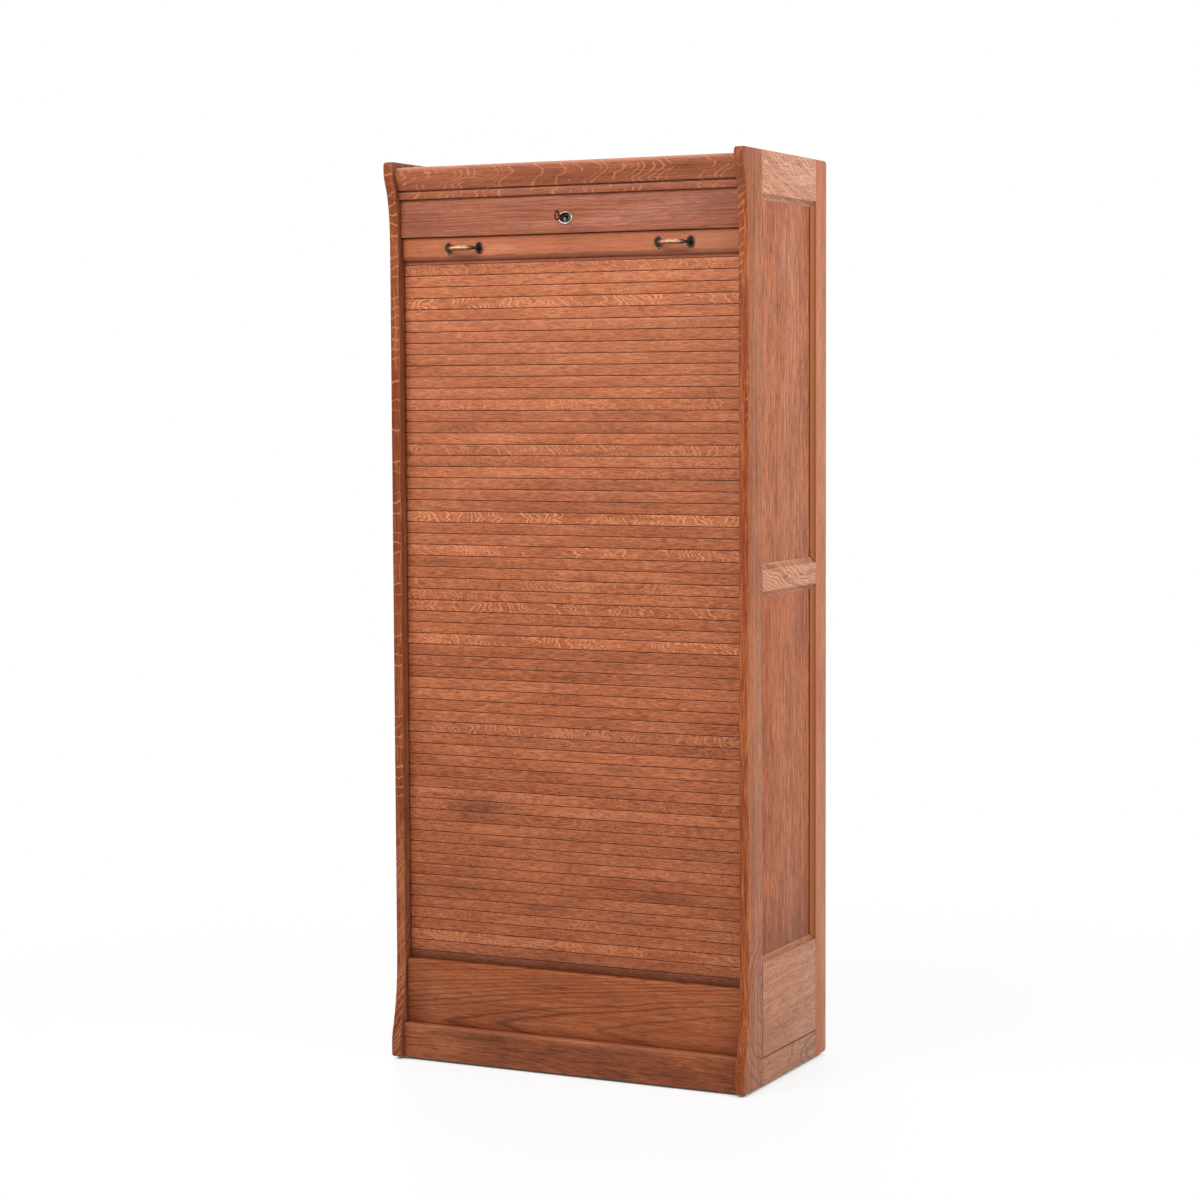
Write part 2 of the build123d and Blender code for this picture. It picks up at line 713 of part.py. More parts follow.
def handle(middle):
    """A cast bow handle with its middle at X = middle."""
    casting = []
    for foot_x in (middle - handle_span / 2, middle + handle_span / 2):
        plane = Plane((foot_x, lift_rail_front, handle_z), x_dir=(1, 0, 0), z_dir=(0, -1, 0))
        foot = extrude(plane * Ellipse(foot_width / 2, foot_height / 2), amount=foot_thickness)
        casting.append(fillet(foot.edges().group_by(Axis.Y)[0], foot_round))
        for z in (handle_z - foot_screw_offset, handle_z + foot_screw_offset):
            handle_screw_seats.append((foot_x, foot_front, z))
    stations = []
    for n in range(grip_stations + 1):
        turn = pi * n / grip_stations
        swell = sin(turn) ** 2
        centre = (
            middle - handle_span / 2 * cos(turn),
            lift_rail_front - foot_thickness / 2 - handle_reach * sin(turn),
            handle_z,
        )
        tangent = (handle_span / 2 * sin(turn), -handle_reach * cos(turn), 0)
        section = Ellipse(
            arm_radius + (grip_half_height - arm_radius) * swell,
            arm_radius + (grip_half_depth - arm_radius) * swell,
        )
        stations.append(Plane(centre, x_dir=(0, 0, 1), z_dir=tangent) * section)
    return casting[0] + loft(stations) + casting[1]


handles = {"left_handle": handle(-handle_offset), "right_handle": handle(handle_offset)}
handle_holes = [
    screw_hole(s, (0, 1, 0), handle_screw_length, handle_screw_radius) for s in handle_screw_seats
]
for name, casting in handles.items():
    pieces[name] = casting - handle_holes
pieces["handle_screws"] = Compound(
    children=[
        screw(s, (0, 1, 0), handle_screw_length, handle_screw_radius, handle_screw_head)
        for s in handle_screw_seats
    ]
)
pieces["lift_rail"] = lift_rail - strike - pocket - strike_screw_holes - handle_holes

# Lock: oval ring, boss with the keyhole, case with its cover
ring_y = (lock_board_front - ring_proud, lock_board_front)
boss_y = (lock_board_front + keyhole_recess, lock_board_back)
ring = along_y(oval["rim"], ring_y, lock_centre)
ring += along_y(oval["sleeve"], (lock_board_front, boss_y[1]), lock_centre)
ring -= along_y(oval["mouth"], (ring_y[0], boss_y[1]), lock_centre)
pieces["lock_ring"] = ring

keyhole_radius = shank_radius + shank_play
slot_half = bit_width / 2 + bit_play
keyhole_y = (lock_board_front, cam_y[1])
keyhole = along_y(Circle(keyhole_radius), keyhole_y, key_axis)
keyhole += block((-slot_half, slot_half), keyhole_y, (key_axis - bit_reach - bit_play, key_axis))
pieces["keyhole_boss"] = along_y(oval["boss"], boss_y, lock_centre) - keyhole

case_x = (-case_half_width, case_half_width)
flange = block((-flange_half_width, flange_half_width), (case_y[0], case_y[0] + case_wall), case_z)
case_hollow_y = (case_y[0] + case_wall, case_y[1])
case_hollow = block(grown(case_x, -case_wall), case_hollow_y, grown(case_z, -case_wall))
hub_hole = along_y(Circle(hub_radius + hub_play), (case_y[0], case_y[0] + case_wall), key_axis)
bolt_window = block(pocket_x, grown(bolt_y, bolt_play), (case_z[0], case_z[0] + case_wall))
case = flange + block(case_x, case_y, case_z) - case_hollow
pieces["lock_case"] = case - hub_hole - keyhole - bolt_window - lock_screw_holes
pieces["lock_cover"] = block(case_x, (case_y[1], case_y[1] + case_wall), case_z)
pieces["lock_screws"] = Compound(
    children=[
        screw(s, (0, -1, 0), lock_screw_length, screw_radius, screw_head_radius)
        for s in lock_screw_seats
    ]
)

# Cam that the key turns, with a crank pin in the bolt's cross slot
cam = along_y(Circle(cam_radius), cam_y, key_axis)
cam += along_y(Circle(hub_radius), (case_y[0], cam_y[0]), key_axis)
cam -= keyhole
cam += rod((crank, cam_y[1], key_axis + crank), (crank, bolt_y[1], key_axis + crank), crank_pin_radius)
pieces["lock_cam"] = cam

pin_path = crank * 2 ** 0.5
yoke_middle = key_axis + crank
yoke_x = (crank - crank_pin_radius - yoke_play, pin_path + crank_pin_radius + yoke_play)
yoke = block(yoke_x, bolt_y, grown((yoke_middle, yoke_middle), crank_pin_radius + yoke_play))
bolt_x = (-bolt_half_width, bolt_half_width)
pieces["lock_bolt"] = block(bolt_x, bolt_y, (bolt_low, yoke_middle + bolt_head)) - yoke

# Key with a ring bow
bow_front = lock_board_front - bow_reach
bow_middle = (0, bow_front + bow_radius, key_axis)
shank_start = bow_middle[1] + bow_hole_radius
key = rod((0, shank_start, key_axis), (0, cam_y[1], key_axis), shank_radius)
bow_plane = Plane((-bow_thickness / 2, bow_middle[1], key_axis), x_dir=(0, 1, 0), z_dir=(1, 0, 0))
key += extrude(bow_plane * (Circle(bow_radius) - Circle(bow_hole_radius)), amount=bow_thickness)
collar_start = bow_middle[1] + bow_radius + collar_gap
key += rod((0, collar_start, key_axis), (0, collar_start + collar_length, key_axis), collar_radius)
key += block((-bit_width / 2, bit_width / 2), cam_y, (key_axis - bit_reach, key_axis))
pieces["key"] = key

for name, piece in pieces.items():
    export_step(piece, f"parts/{name}.step")
print(len(pieces), "nodes,", slat_count, "slats, shutter travel", round(shutter_travel, 1), "mm")
print("curtain from", round(curtain_bottom, 1), "to", round(curtain_top, 1), "mm above the floor")
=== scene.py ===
# %% [markdown]
# # An oak filing cabinet with a roller shutter
#
# The real cabinet is about a hundred years old: two framed oak sides, a shutter of narrow slats that is
# pulled down by two bronze handles, and a lock in the board above it. The shapes come from a CAD model that
# is already in metres and stands on the floor at the origin. This lesson dresses that model: it eases the
# edges of the boards, lays real slats on a canvas, casts the handles and the lock in finer detail, and
# gives every piece a finish made of shader nodes.
#
# The model is loaded first, because everything else is fitted to it.

# %% Load the cabinet
import json
import math
import random

import bmesh
import bpy
from mathutils import Matrix, Vector


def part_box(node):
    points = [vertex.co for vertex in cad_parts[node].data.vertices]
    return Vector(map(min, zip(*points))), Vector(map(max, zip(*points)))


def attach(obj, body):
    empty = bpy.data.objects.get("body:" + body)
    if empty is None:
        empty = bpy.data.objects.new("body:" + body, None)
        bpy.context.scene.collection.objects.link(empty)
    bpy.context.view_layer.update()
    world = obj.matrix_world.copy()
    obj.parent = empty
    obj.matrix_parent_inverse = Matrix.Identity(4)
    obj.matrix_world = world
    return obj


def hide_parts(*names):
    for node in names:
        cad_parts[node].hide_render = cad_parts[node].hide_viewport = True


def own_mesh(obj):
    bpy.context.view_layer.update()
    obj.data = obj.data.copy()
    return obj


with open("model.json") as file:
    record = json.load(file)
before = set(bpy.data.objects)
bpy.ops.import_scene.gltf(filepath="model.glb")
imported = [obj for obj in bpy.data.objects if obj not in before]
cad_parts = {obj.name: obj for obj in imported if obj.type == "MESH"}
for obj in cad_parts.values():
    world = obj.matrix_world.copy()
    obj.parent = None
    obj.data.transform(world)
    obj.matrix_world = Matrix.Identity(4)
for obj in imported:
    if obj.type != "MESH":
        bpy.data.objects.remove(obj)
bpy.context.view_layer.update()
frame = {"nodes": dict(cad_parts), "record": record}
nodes = frame["nodes"]
body_of_node = {n: body for body, names in frame["record"]["behaviour"]["bodies"].items() for n in names}
scene = bpy.context.scene
scene.view_settings.view_transform = "Standard"

# %% [markdown]
# ## The camera
#
# The photograph was taken from the right of the cabinet, at about the height of the handles, through a
# rather long lens. Such a camera can be placed by eye, but the straight edges of the cabinet give it
# exactly: where the corners of a box of known size fall in the picture, there is only one place to stand.
# The three turns below are those of a tripod: round, down, and a hair out of level.

# %% Stand the camera where the photographer stood
EYE = Vector((2.7145, -5.5700, 1.4513))
TURN, NOD, LEAN = 0.45605, -0.07187, -0.00479
LENS = 85.73

ahead = Vector((-math.sin(TURN) * math.cos(NOD), math.cos(TURN) * math.cos(NOD), math.sin(NOD)))
level = Vector((math.cos(TURN), math.sin(TURN), 0.0))
upright = level.cross(ahead)
right = level * math.cos(LEAN) + upright * math.sin(LEAN)
up = upright * math.cos(LEAN) - level * math.sin(LEAN)
camera = bpy.data.objects.new("camera", bpy.data.cameras.new("camera"))
camera.data.lens = LENS
camera.matrix_world = Matrix((right, up, -ahead)).transposed().to_4x4()
camera.matrix_world.translation = EYE
scene.collection.objects.link(camera)
scene.camera = camera
print("Camera at", tuple(round(c, 3) for c in camera.matrix_world.translation), "with a lens of", LENS, "mm")

# %% [markdown]
# ## Small tools for shader nodes
#
# A finish is a tree of nodes. Adding a node, setting its sockets and joining it to others takes many
# lines, so a few short helpers do it: one adds any node, and the others stand for the kinds that are used
# most: sums, soft steps, colour mixes and stretched noise. With these, a finish reads like a recipe.

# %% Helpers for numbers and colours
def add(tree, kind, sockets=None, **settings):
    """Add a node, set its options, and set or join its sockets."""
    made = tree.nodes.new(kind)
    for option, value in settings.items():
        setattr(made, option, value)
    for socket, value in (sockets or {}).items():
        if isinstance(value, bpy.types.NodeSocket):
            tree.links.new(value, made.inputs[socket])
        else:
            made.inputs[socket].default_value = value
    return made


def calc(tree, operation, *values):
    """A sum of numbers and sockets."""
    return add(tree, "ShaderNodeMath", dict(enumerate(values)), operation=operation).outputs[0]


def step(tree, value, low, high, start=0.0, end=1.0):
    """A soft step from start to end as the value goes from low to high."""
    sockets = {"Value": value, "From Min": low, "From Max": high, "To Min": start, "To Max": end}
    return add(tree, "ShaderNodeMapRange", sockets, interpolation_type="SMOOTHSTEP").outputs[0]


def mixed(tree, share, first, second):
    """Two colours mixed by a share."""
    first, second = ((*c, 1.0) if isinstance(c, tuple) else c for c in (first, second))
    sockets = {0: share, 6: first, 7: second}
    return add(tree, "ShaderNodeMix", sockets, data_type="RGBA").outputs[2]


def cloudy(tree, place, stretch, detail=3.0, rough=0.55):
    """Noise that is stretch times as fine along each axis as one patch a metre."""
    fine = add(tree, "ShaderNodeVectorMath", {0: place, 1: stretch}, operation="MULTIPLY").outputs[0]
    sockets = {"Vector": fine, "Scale": 1.0, "Detail": detail, "Roughness": rough}
    return add(tree, "ShaderNodeTexNoise", sockets).outputs[0]


def times(colour, share):
    """A colour made darker or paler."""
    return tuple(share * c for c in colour)


print("Helpers for numbers and colours ready")

# %% [markdown]
# Every finish here is solid: it asks where a point lies in the cabinet, and not where it lies on an
# unwrapped skin. Some numbers differ from piece to piece of one mesh; those are stored on the mesh and
# read by the finish. At the end a colour, a roughness and a relief are joined to the main shader.

# %% Helpers for places and finishes
def own_place(tree):
    """A point's place in the cabinet, in metres."""
    return add(tree, "ShaderNodeTexCoord").outputs["Object"]


def apart(tree, place):
    """The three numbers of a place or direction."""
    return add(tree, "ShaderNodeSeparateXYZ", {0: place}).outputs


def settle(tree, value):
    """The value itself, or the socket that a reader of stored numbers gives for this tree."""
    return value(tree) if callable(value) else value


def new_finish(name):
    """A material with its tree and its main shader."""
    finish = bpy.data.materials.new(name)
    finish.use_nodes = True
    return finish, finish.node_tree, finish.node_tree.nodes["Principled BSDF"]


def paint(tree, shader, colour, rough):
    """Join a colour and a roughness to the main shader."""
    tree.links.new(colour, shader.inputs["Base Color"])
    tree.links.new(rough, shader.inputs["Roughness"])


def relief(tree, shader, height, strength, deep):
    """Small bumps in the surface, so many metres deep."""
    bump = add(tree, "ShaderNodeBump", {"Strength": strength, "Distance": deep, "Height": height})
    tree.links.new(bump.outputs[0], shader.inputs["Normal"])


print("Helpers for places and finishes ready")

# %% [markdown]
# ## Floor and studio light
#
# The cabinet stands on a white studio floor that fades into a white background. A floor lit until it is
# white would also bleach the wood, so the lamps stay at a plain level, and the floor and the world simply
# show more white to the camera and to mirror-like surfaces. Close to the cabinet the floor keeps a share
# of its own shading, and with that the shadow under the plinth; further away it fades to plain white.

# %% Lay the floor
PAPER = (1.0, 1.0, 1.0, 1.0)
FLOOR_TINT = (0.90, 0.885, 0.875, 1.0)
FADE = (0.6, 2.2)  # metres from the middle of the cabinet
WHITE_SHARE = (0.85, 1.0)
CONTACT = 0.035  # how far the dark line along the foot reaches
FLOOR_HALF = 20.0


def seen_directly(tree):
    """1 for rays from the camera or off a shiny or clear surface, and 0 for the light itself."""
    path = add(tree, "ShaderNodeLightPath")
    shiny = calc(tree, "MAXIMUM", path.outputs["Is Glossy Ray"], path.outputs["Is Transmission Ray"])
    return calc(tree, "MAXIMUM", path.outputs["Is Camera Ray"], shiny)


def paper_floor():
    """White paper that keeps the shadow close to the cabinet."""
    finish, tree, shader = new_finish("studio_floor")
    place = own_place(tree)
    speck = cloudy(tree, place, (3.0, 3.0, 3.0))
    tree.links.new(step(tree, speck, 0.3, 0.7, 0.34, 0.40), shader.inputs["Roughness"])
    shader.inputs["Base Color"].default_value = FLOOR_TINT
    shader.inputs["Specular IOR Level"].default_value = 0.35
    glow = add(tree, "ShaderNodeEmission", {"Color": PAPER, "Strength": 1.0})
    away = add(tree, "ShaderNodeVectorMath", {0: place}, operation="LENGTH").outputs["Value"]
    white = step(tree, away, *FADE, *WHITE_SHARE)
    open_to = add(tree, "ShaderNodeAmbientOcclusion", {"Distance": CONTACT}, samples=8).outputs["AO"]
    white = calc(tree, "MULTIPLY", white, step(tree, open_to, 0.0, 0.75))
    share = calc(tree, "MULTIPLY", seen_directly(tree), white)
    both = add(tree, "ShaderNodeMixShader", {0: share, 1: shader.outputs[0], 2: glow.outputs[0]})
    tree.links.new(both.outputs[0], tree.nodes["Material Output"].inputs["Surface"])
    return finish


floor_mesh = bpy.data.meshes.new("floor")
floor_corners = [(x, y, 0.0) for x, y in ((-1, -1), (1, -1), (1, 1), (-1, 1))]
floor_mesh.from_pydata([Vector(c) * FLOOR_HALF for c in floor_corners], [], [(0, 1, 2, 3)])
floor_mesh.materials.append(paper_floor())
floor = bpy.data.objects.new("floor", floor_mesh)
scene.collection.objects.link(floor)
print("Floor of", 2 * FLOOR_HALF, "m square")

# %% [markdown]
# In the photograph the light is soft and comes from above, from the front and from the right. Large
# rectangular lamps give such light: the larger the lamp, the softer its shadow. Three are enough, one
# before the cabinet, one at its side and one behind it, and a faint glow from all round fills what they
# leave dark.

# %% Light the studio
ROOM_TINT, ROOM_GLOW = (1.0, 0.985, 0.97, 1.0), 0.34
world = bpy.data.worlds.new("studio")
scene.world = world
world.use_nodes = True
room = world.node_tree
room.nodes.clear()
glow = add(room, "ShaderNodeBackground", {"Color": ROOM_TINT, "Strength": ROOM_GLOW})
paper = add(room, "ShaderNodeBackground", {"Color": PAPER, "Strength": 1.0})
sky = add(room, "ShaderNodeMixShader", {0: seen_directly(room), 1: glow.outputs[0], 2: paper.outputs[0]})
add(room, "ShaderNodeOutputWorld", {"Surface": sky.outputs[0]})

SOFT_BOXES = {  # where each hangs, what it faces, its width and height in metres, and its power in watts
    "front_box": ((-0.9, -2.7, 3.5), (0.0, -0.2, 1.35), (2.4, 1.6), 108.0),
    "side_box": ((3.7, -0.6, 3.1), (0.4, 0.0, 1.1), (2.0, 2.0), 108.0),
    "rear_box": ((-2.6, 3.4, 3.2), (0.0, 0.2, 1.0), (2.4, 2.0), 76.0),
}
for name, (place, aim, (wide, high), watts) in SOFT_BOXES.items():
    lamp = bpy.data.lights.new(name, "AREA")
    lamp.shape = "RECTANGLE"
    lamp.size, lamp.size_y, lamp.energy = wide, high, watts
    box = bpy.data.objects.new(name, lamp)
    box.matrix_world = (Vector(place) - Vector(aim)).to_track_quat("Z", "Y").to_matrix().to_4x4()
    box.matrix_world.translation = place
    scene.collection.objects.link(box)
print("Lit by", ", ".join(SOFT_BOXES))

# %% [markdown]
# ## The oak
#
# Oiled oak is not one brown. Sawn straight along the heart it shows long streaks, fine dark pores and
# pale silky flecks where the rays of the tree are cut; sawn across, it shows nested arches. Dirt and old
# polish sit in the corners, and painted shade is added there. A photograph of wood could be laid over
# each board, but it would repeat and it would not go round an edge. A solid texture does: the pattern
# fills space, and each board is cut from its own place in it. `board_place` turns space so that the
# first axis runs along the grain and moves each board to its own spot.

# %% Where a board lies in the tree
GRAIN_AXES = {"x": "XZY", "y": "YZX", "z": "ZYX"}
SWAY = 0.012


def board_place(tree, grain, spot):
    """Coordinates in metres along the grain, across it and through the board."""
    numbers = apart(tree, own_place(tree))
    turned = add(tree, "ShaderNodeCombineXYZ", {n: numbers[a] for n, a in enumerate(GRAIN_AXES[grain])})
    sockets = {0: turned.outputs[0], 1: settle(tree, spot)}
    moved = add(tree, "ShaderNodeVectorMath", sockets, operation="ADD").outputs[0]
    wave = cloudy(tree, moved, (2.2, 9.0, 9.0), detail=2.0)
    sway = calc(tree, "MULTIPLY_ADD", wave, SWAY, -SWAY / 2)
    swayed = add(tree, "ShaderNodeCombineXYZ", {1: sway, 2: sway}).outputs[0]
    return add(tree, "ShaderNodeVectorMath", {0: moved, 1: swayed}, operation="ADD").outputs[0]


print("Grain may run along", ", ".join(GRAIN_AXES))

# %% [markdown]
# Where the saw runs along the rays of the tree, they show as pale silky flecks. `silk` draws them: fine
# lines across the grain that a slow noise bends into hooks and feathers. They show in patches, and a
# board may show them on its front only, so the finish also has to know which way a face looks.

# %% Ray flecks
def looks_along(tree, axis):
    """1 on faces that look along an axis of the cabinet, and 0 on the others."""
    normal = add(tree, "ShaderNodeNewGeometry").outputs["Normal"]
    return step(tree, calc(tree, "ABSOLUTE", apart(tree, normal)[axis]), 0.45, 0.75)


def silk(tree, place, gap, slant=0.0, bend=(0.15, 0.04, 5.0), wave=None, thin=(0.34, 0.46),
         patch=(0.20, 0.06), cover=(0.40, 0.55), face=None, fade=None):
    """Pale flecks from 0 to 1: lines that cross the grain every gap metres, slanted, bent and in patches."""
    numbers = apart(tree, place)
    aside = calc(tree, "ADD", numbers[1], numbers[2])
    turns = calc(tree, "MULTIPLY", numbers[0], math.cos(slant) / gap)
    turns = calc(tree, "MULTIPLY_ADD", aside, math.sin(slant) / gap, turns)
    if wave:
        length, start, reach = wave
        swing = calc(tree, "MULTIPLY_ADD", numbers[1], math.tau / length, -math.tau * start / length)
        swing = calc(tree, "SINE", calc(tree, "MAXIMUM", swing, -math.pi / 2))
        turns = calc(tree, "MULTIPLY_ADD", swing, reach / gap, turns)
    along, across, much = bend
    wander = cloudy(tree, place, (1 / along, 1 / across, 1 / across), detail=2.5)
    turns = calc(tree, "MULTIPLY_ADD", wander, much, turns)
    sockets = {"W": calc(tree, "FLOOR", turns)}
    own = add(tree, "ShaderNodeTexWhiteNoise", sockets, noise_dimensions="1D").outputs["Value"]
    line = step(tree, calc(tree, "PINGPONG", turns, 0.5), *thin)
    line = calc(tree, "MULTIPLY", line, step(tree, own, 0.0, 0.7))
    shown = cloudy(tree, place, (1 / patch[0], 1 / patch[1], 1 / patch[1]), detail=1.5)
    line = calc(tree, "MULTIPLY", line, step(tree, shown, *cover))
    line = calc(tree, "MULTIPLY", line, step(tree, numbers[0], *fade)) if fade else line
    return calc(tree, "MULTIPLY", line, looks_along(tree, face)) if face else line


print("Ray flecks ready")

# %% [markdown]
# A board that is sawn beside the heart cuts the year rings at a slant, and they show as nested arches.
# `year_rings` does the same: it measures how far a point lies from a heart behind the board, and draws a
# line at every ring. Where the heart leans against the face, the lines close into arches.

# %% Year rings
def year_rings(tree, place, middle, face, behind, ring, lean=0.0, rise=0.0, tilt=0.0, crowd=0.0, shake=0.026,
               fade=None, only=None):
    """Dark ring lines from 0 to 1. The heart may lean, the trunk may taper, and rings may crowd outwards."""
    numbers = apart(tree, place)
    depth = calc(tree, "SUBTRACT", face + behind, calc(tree, "ABSOLUTE", numbers[2]))
    far = calc(tree, "MULTIPLY_ADD", numbers[0], lean, depth)
    off = calc(tree, "MULTIPLY_ADD", numbers[0], -tilt, calc(tree, "SUBTRACT", numbers[1], middle))
    square = calc(tree, "MULTIPLY", off, off)
    radius = calc(tree, "SQRT", calc(tree, "MULTIPLY_ADD", far, far, square))
    radius = calc(tree, "MULTIPLY_ADD", numbers[0], rise, radius)
    radius = calc(tree, "MULTIPLY_ADD", square, crowd, radius)
    shaky = cloudy(tree, place, (4.0, 22.0, 22.0), detail=3.0)
    turns = calc(tree, "DIVIDE", calc(tree, "MULTIPLY_ADD", shaky, shake, radius), ring)
    sockets = {"W": calc(tree, "FLOOR", turns)}
    own = add(tree, "ShaderNodeTexWhiteNoise", sockets, noise_dimensions="1D").outputs["Value"]
    line = step(tree, calc(tree, "PINGPONG", turns, 0.5), 0.22, 0.50)
    line = calc(tree, "MULTIPLY", line, step(tree, own, 0.0, 1.0, 0.2, 1.0))
    line = calc(tree, "MULTIPLY", line, looks_along(tree, only)) if only else line
    return calc(tree, "MULTIPLY", line, step(tree, numbers[0], *fade)) if fade else line


print("Year rings ready")

# %% [markdown]
# Age leaves its own marks. Some have a place: dull stains where something was spilled, a dark seam where
# a joint has opened. They could be painted on, but a mark that is made of distances needs no picture: a
# stain is an oval with a ragged rim, and a band or a seam is a step along one axis.

# %% Stains, bands and seams
def stain(axis, across, high, half_width, half_height, dark, colour=None, only=None):
    """A dull patch on the front (axis X) or on a side (axis Y)."""
    def mark(tree):
        place = own_place(tree)
        numbers = apart(tree, place)
        side = calc(tree, "DIVIDE", calc(tree, "SUBTRACT", numbers[axis], across), half_width)
        rise = calc(tree, "DIVIDE", calc(tree, "SUBTRACT", numbers["Z"], high), half_height)
        far = calc(tree, "SQRT", calc(tree, "MULTIPLY_ADD", side, side, calc(tree, "MULTIPLY", rise, rise)))
        ragged = calc(tree, "MULTIPLY_ADD", cloudy(tree, place, (50.0, 50.0, 130.0)), 0.9, far)
        share = step(tree, ragged, 0.5, 1.6, dark, 0.0)
        return (calc(tree, "MULTIPLY", share, looks_along(tree, only)) if only else share), colour
    return mark


def band(axis, low, high, dark, colour=None):
    """A patch that is dark below low and gone above high, measured from the middle of the cabinet."""
    def mark(tree):
        number = calc(tree, "ABSOLUTE", apart(tree, own_place(tree))[axis])
        return step(tree, number, low, high, dark, 0.0), colour
    return mark


def seam(axis, place, half, dark, colour=None):
    """A dark open joint at one place along an axis."""
    def mark(tree):
        here = own_place(tree)
        off = calc(tree, "ABSOLUTE", calc(tree, "SUBTRACT", apart(tree, here)[axis], place))
        ragged = calc(tree, "MULTIPLY_ADD", cloudy(tree, here, (30.0, 30.0, 30.0)), -1.2 * half, off)
        return step(tree, ragged, -0.2 * half, 0.8 * half, dark, 0.0), colour
    return mark


print("Stains, bands and seams ready")

# %% [markdown]
# Other marks depend on the wood's shape: a painted highlight on slopes that look up, painted shade on
# slopes that look to the front, boards that darken each in its own way, dirt that no cloth reaches in the
# recesses with painted shade there as well, and edges rubbed pale. The last two are found by looking
# round each point: outside the board for the dirt and painted shade in corners, and inside it for edges
# that stick out.

# %% Slopes with painted light and shade, dirt and worn edges
def painted_front_shade(dark, colour, steep=(-0.50, -0.15), foot=None):
    """Painted shade on slopes that look to the front, or only on their foot, near the middle of the cabinet.
    """
    def mark(tree):
        normal = add(tree, "ShaderNodeNewGeometry").outputs["Normal"]
        share = step(tree, apart(tree, normal)["Y"], *steep, dark, 0.0)
        if foot:
            off = calc(tree, "ABSOLUTE", apart(tree, own_place(tree))["X"])
            share = calc(tree, "MULTIPLY", share, step(tree, off, *foot, 1.0, 0.0))
        return share, colour
    return mark


def painted_top_light(share, on_top, colour):
    """A painted highlight on slopes that look up, in another share on flat tops."""
    def mark(tree):
        up_by = apart(tree, add(tree, "ShaderNodeNewGeometry").outputs["Normal"])["Z"]
        slope = step(tree, up_by, 0.20, 0.75, 0.0, share)
        return calc(tree, "MULTIPLY", slope, step(tree, up_by, 0.88, 0.99, 1.0, on_top / share)), colour
    return mark


def each_board(axis, width, dark):
    """Boards side by side along an axis, each a little darker or paler than the next."""
    def mark(tree):
        count = calc(tree, "FLOOR", calc(tree, "DIVIDE", apart(tree, own_place(tree))[axis], width))
        own = add(tree, "ShaderNodeTexWhiteNoise", {"W": count}, noise_dimensions="1D").outputs["Value"]
        return calc(tree, "MULTIPLY", own, dark), None
    return mark


def looked_round(tree, reach, inside):
    """How open the space round a point is, outside the board or inside it, from 0 to 1."""
    options = dict(samples=6, inside=inside, only_local=inside)
    return add(tree, "ShaderNodeAmbientOcclusion", {"Distance": reach}, **options).outputs["AO"]


print("Slopes, dirt and worn edges ready")

# %% [markdown]
# The finish goes from large to small: slow clouds and long streaks choose between a deep, a middle and a
# pale tone, then come year rings, pores and flecks, and at last the marks of age and of painted light and
# shade. Roughness and bump follow the same pores and streaks, so the polish breaks up where the wood
# does. The dark of the corners, dirt and painted shade together, lies over the polish, so it is matt.

# %% The oak finish
TO_MIDDLE, TO_PALE = (0.28, 0.50), (0.50, 0.68)  # where the wood goes from tone to tone
PORE = (0.54, 0.64)
IN_CORNERS, ON_EDGES = (0.35, 0.92), (0.55, 0.95)  # how open the space is where painted corner shade with its dirt, and edge wear, fade out
EDGE_WEAR = 0.0028
GRAIN_DEEP = 0.0004
SHEEN = 0.24
SHADE_AND_DIRT_TINT = (0.75, 0.30, 0.10)  # how much of each colour the painted shade and dirt in the corners leave
NEARLY_BLACK = 0.15  # marks this dark, painted shadow as well as dirt, are made matt
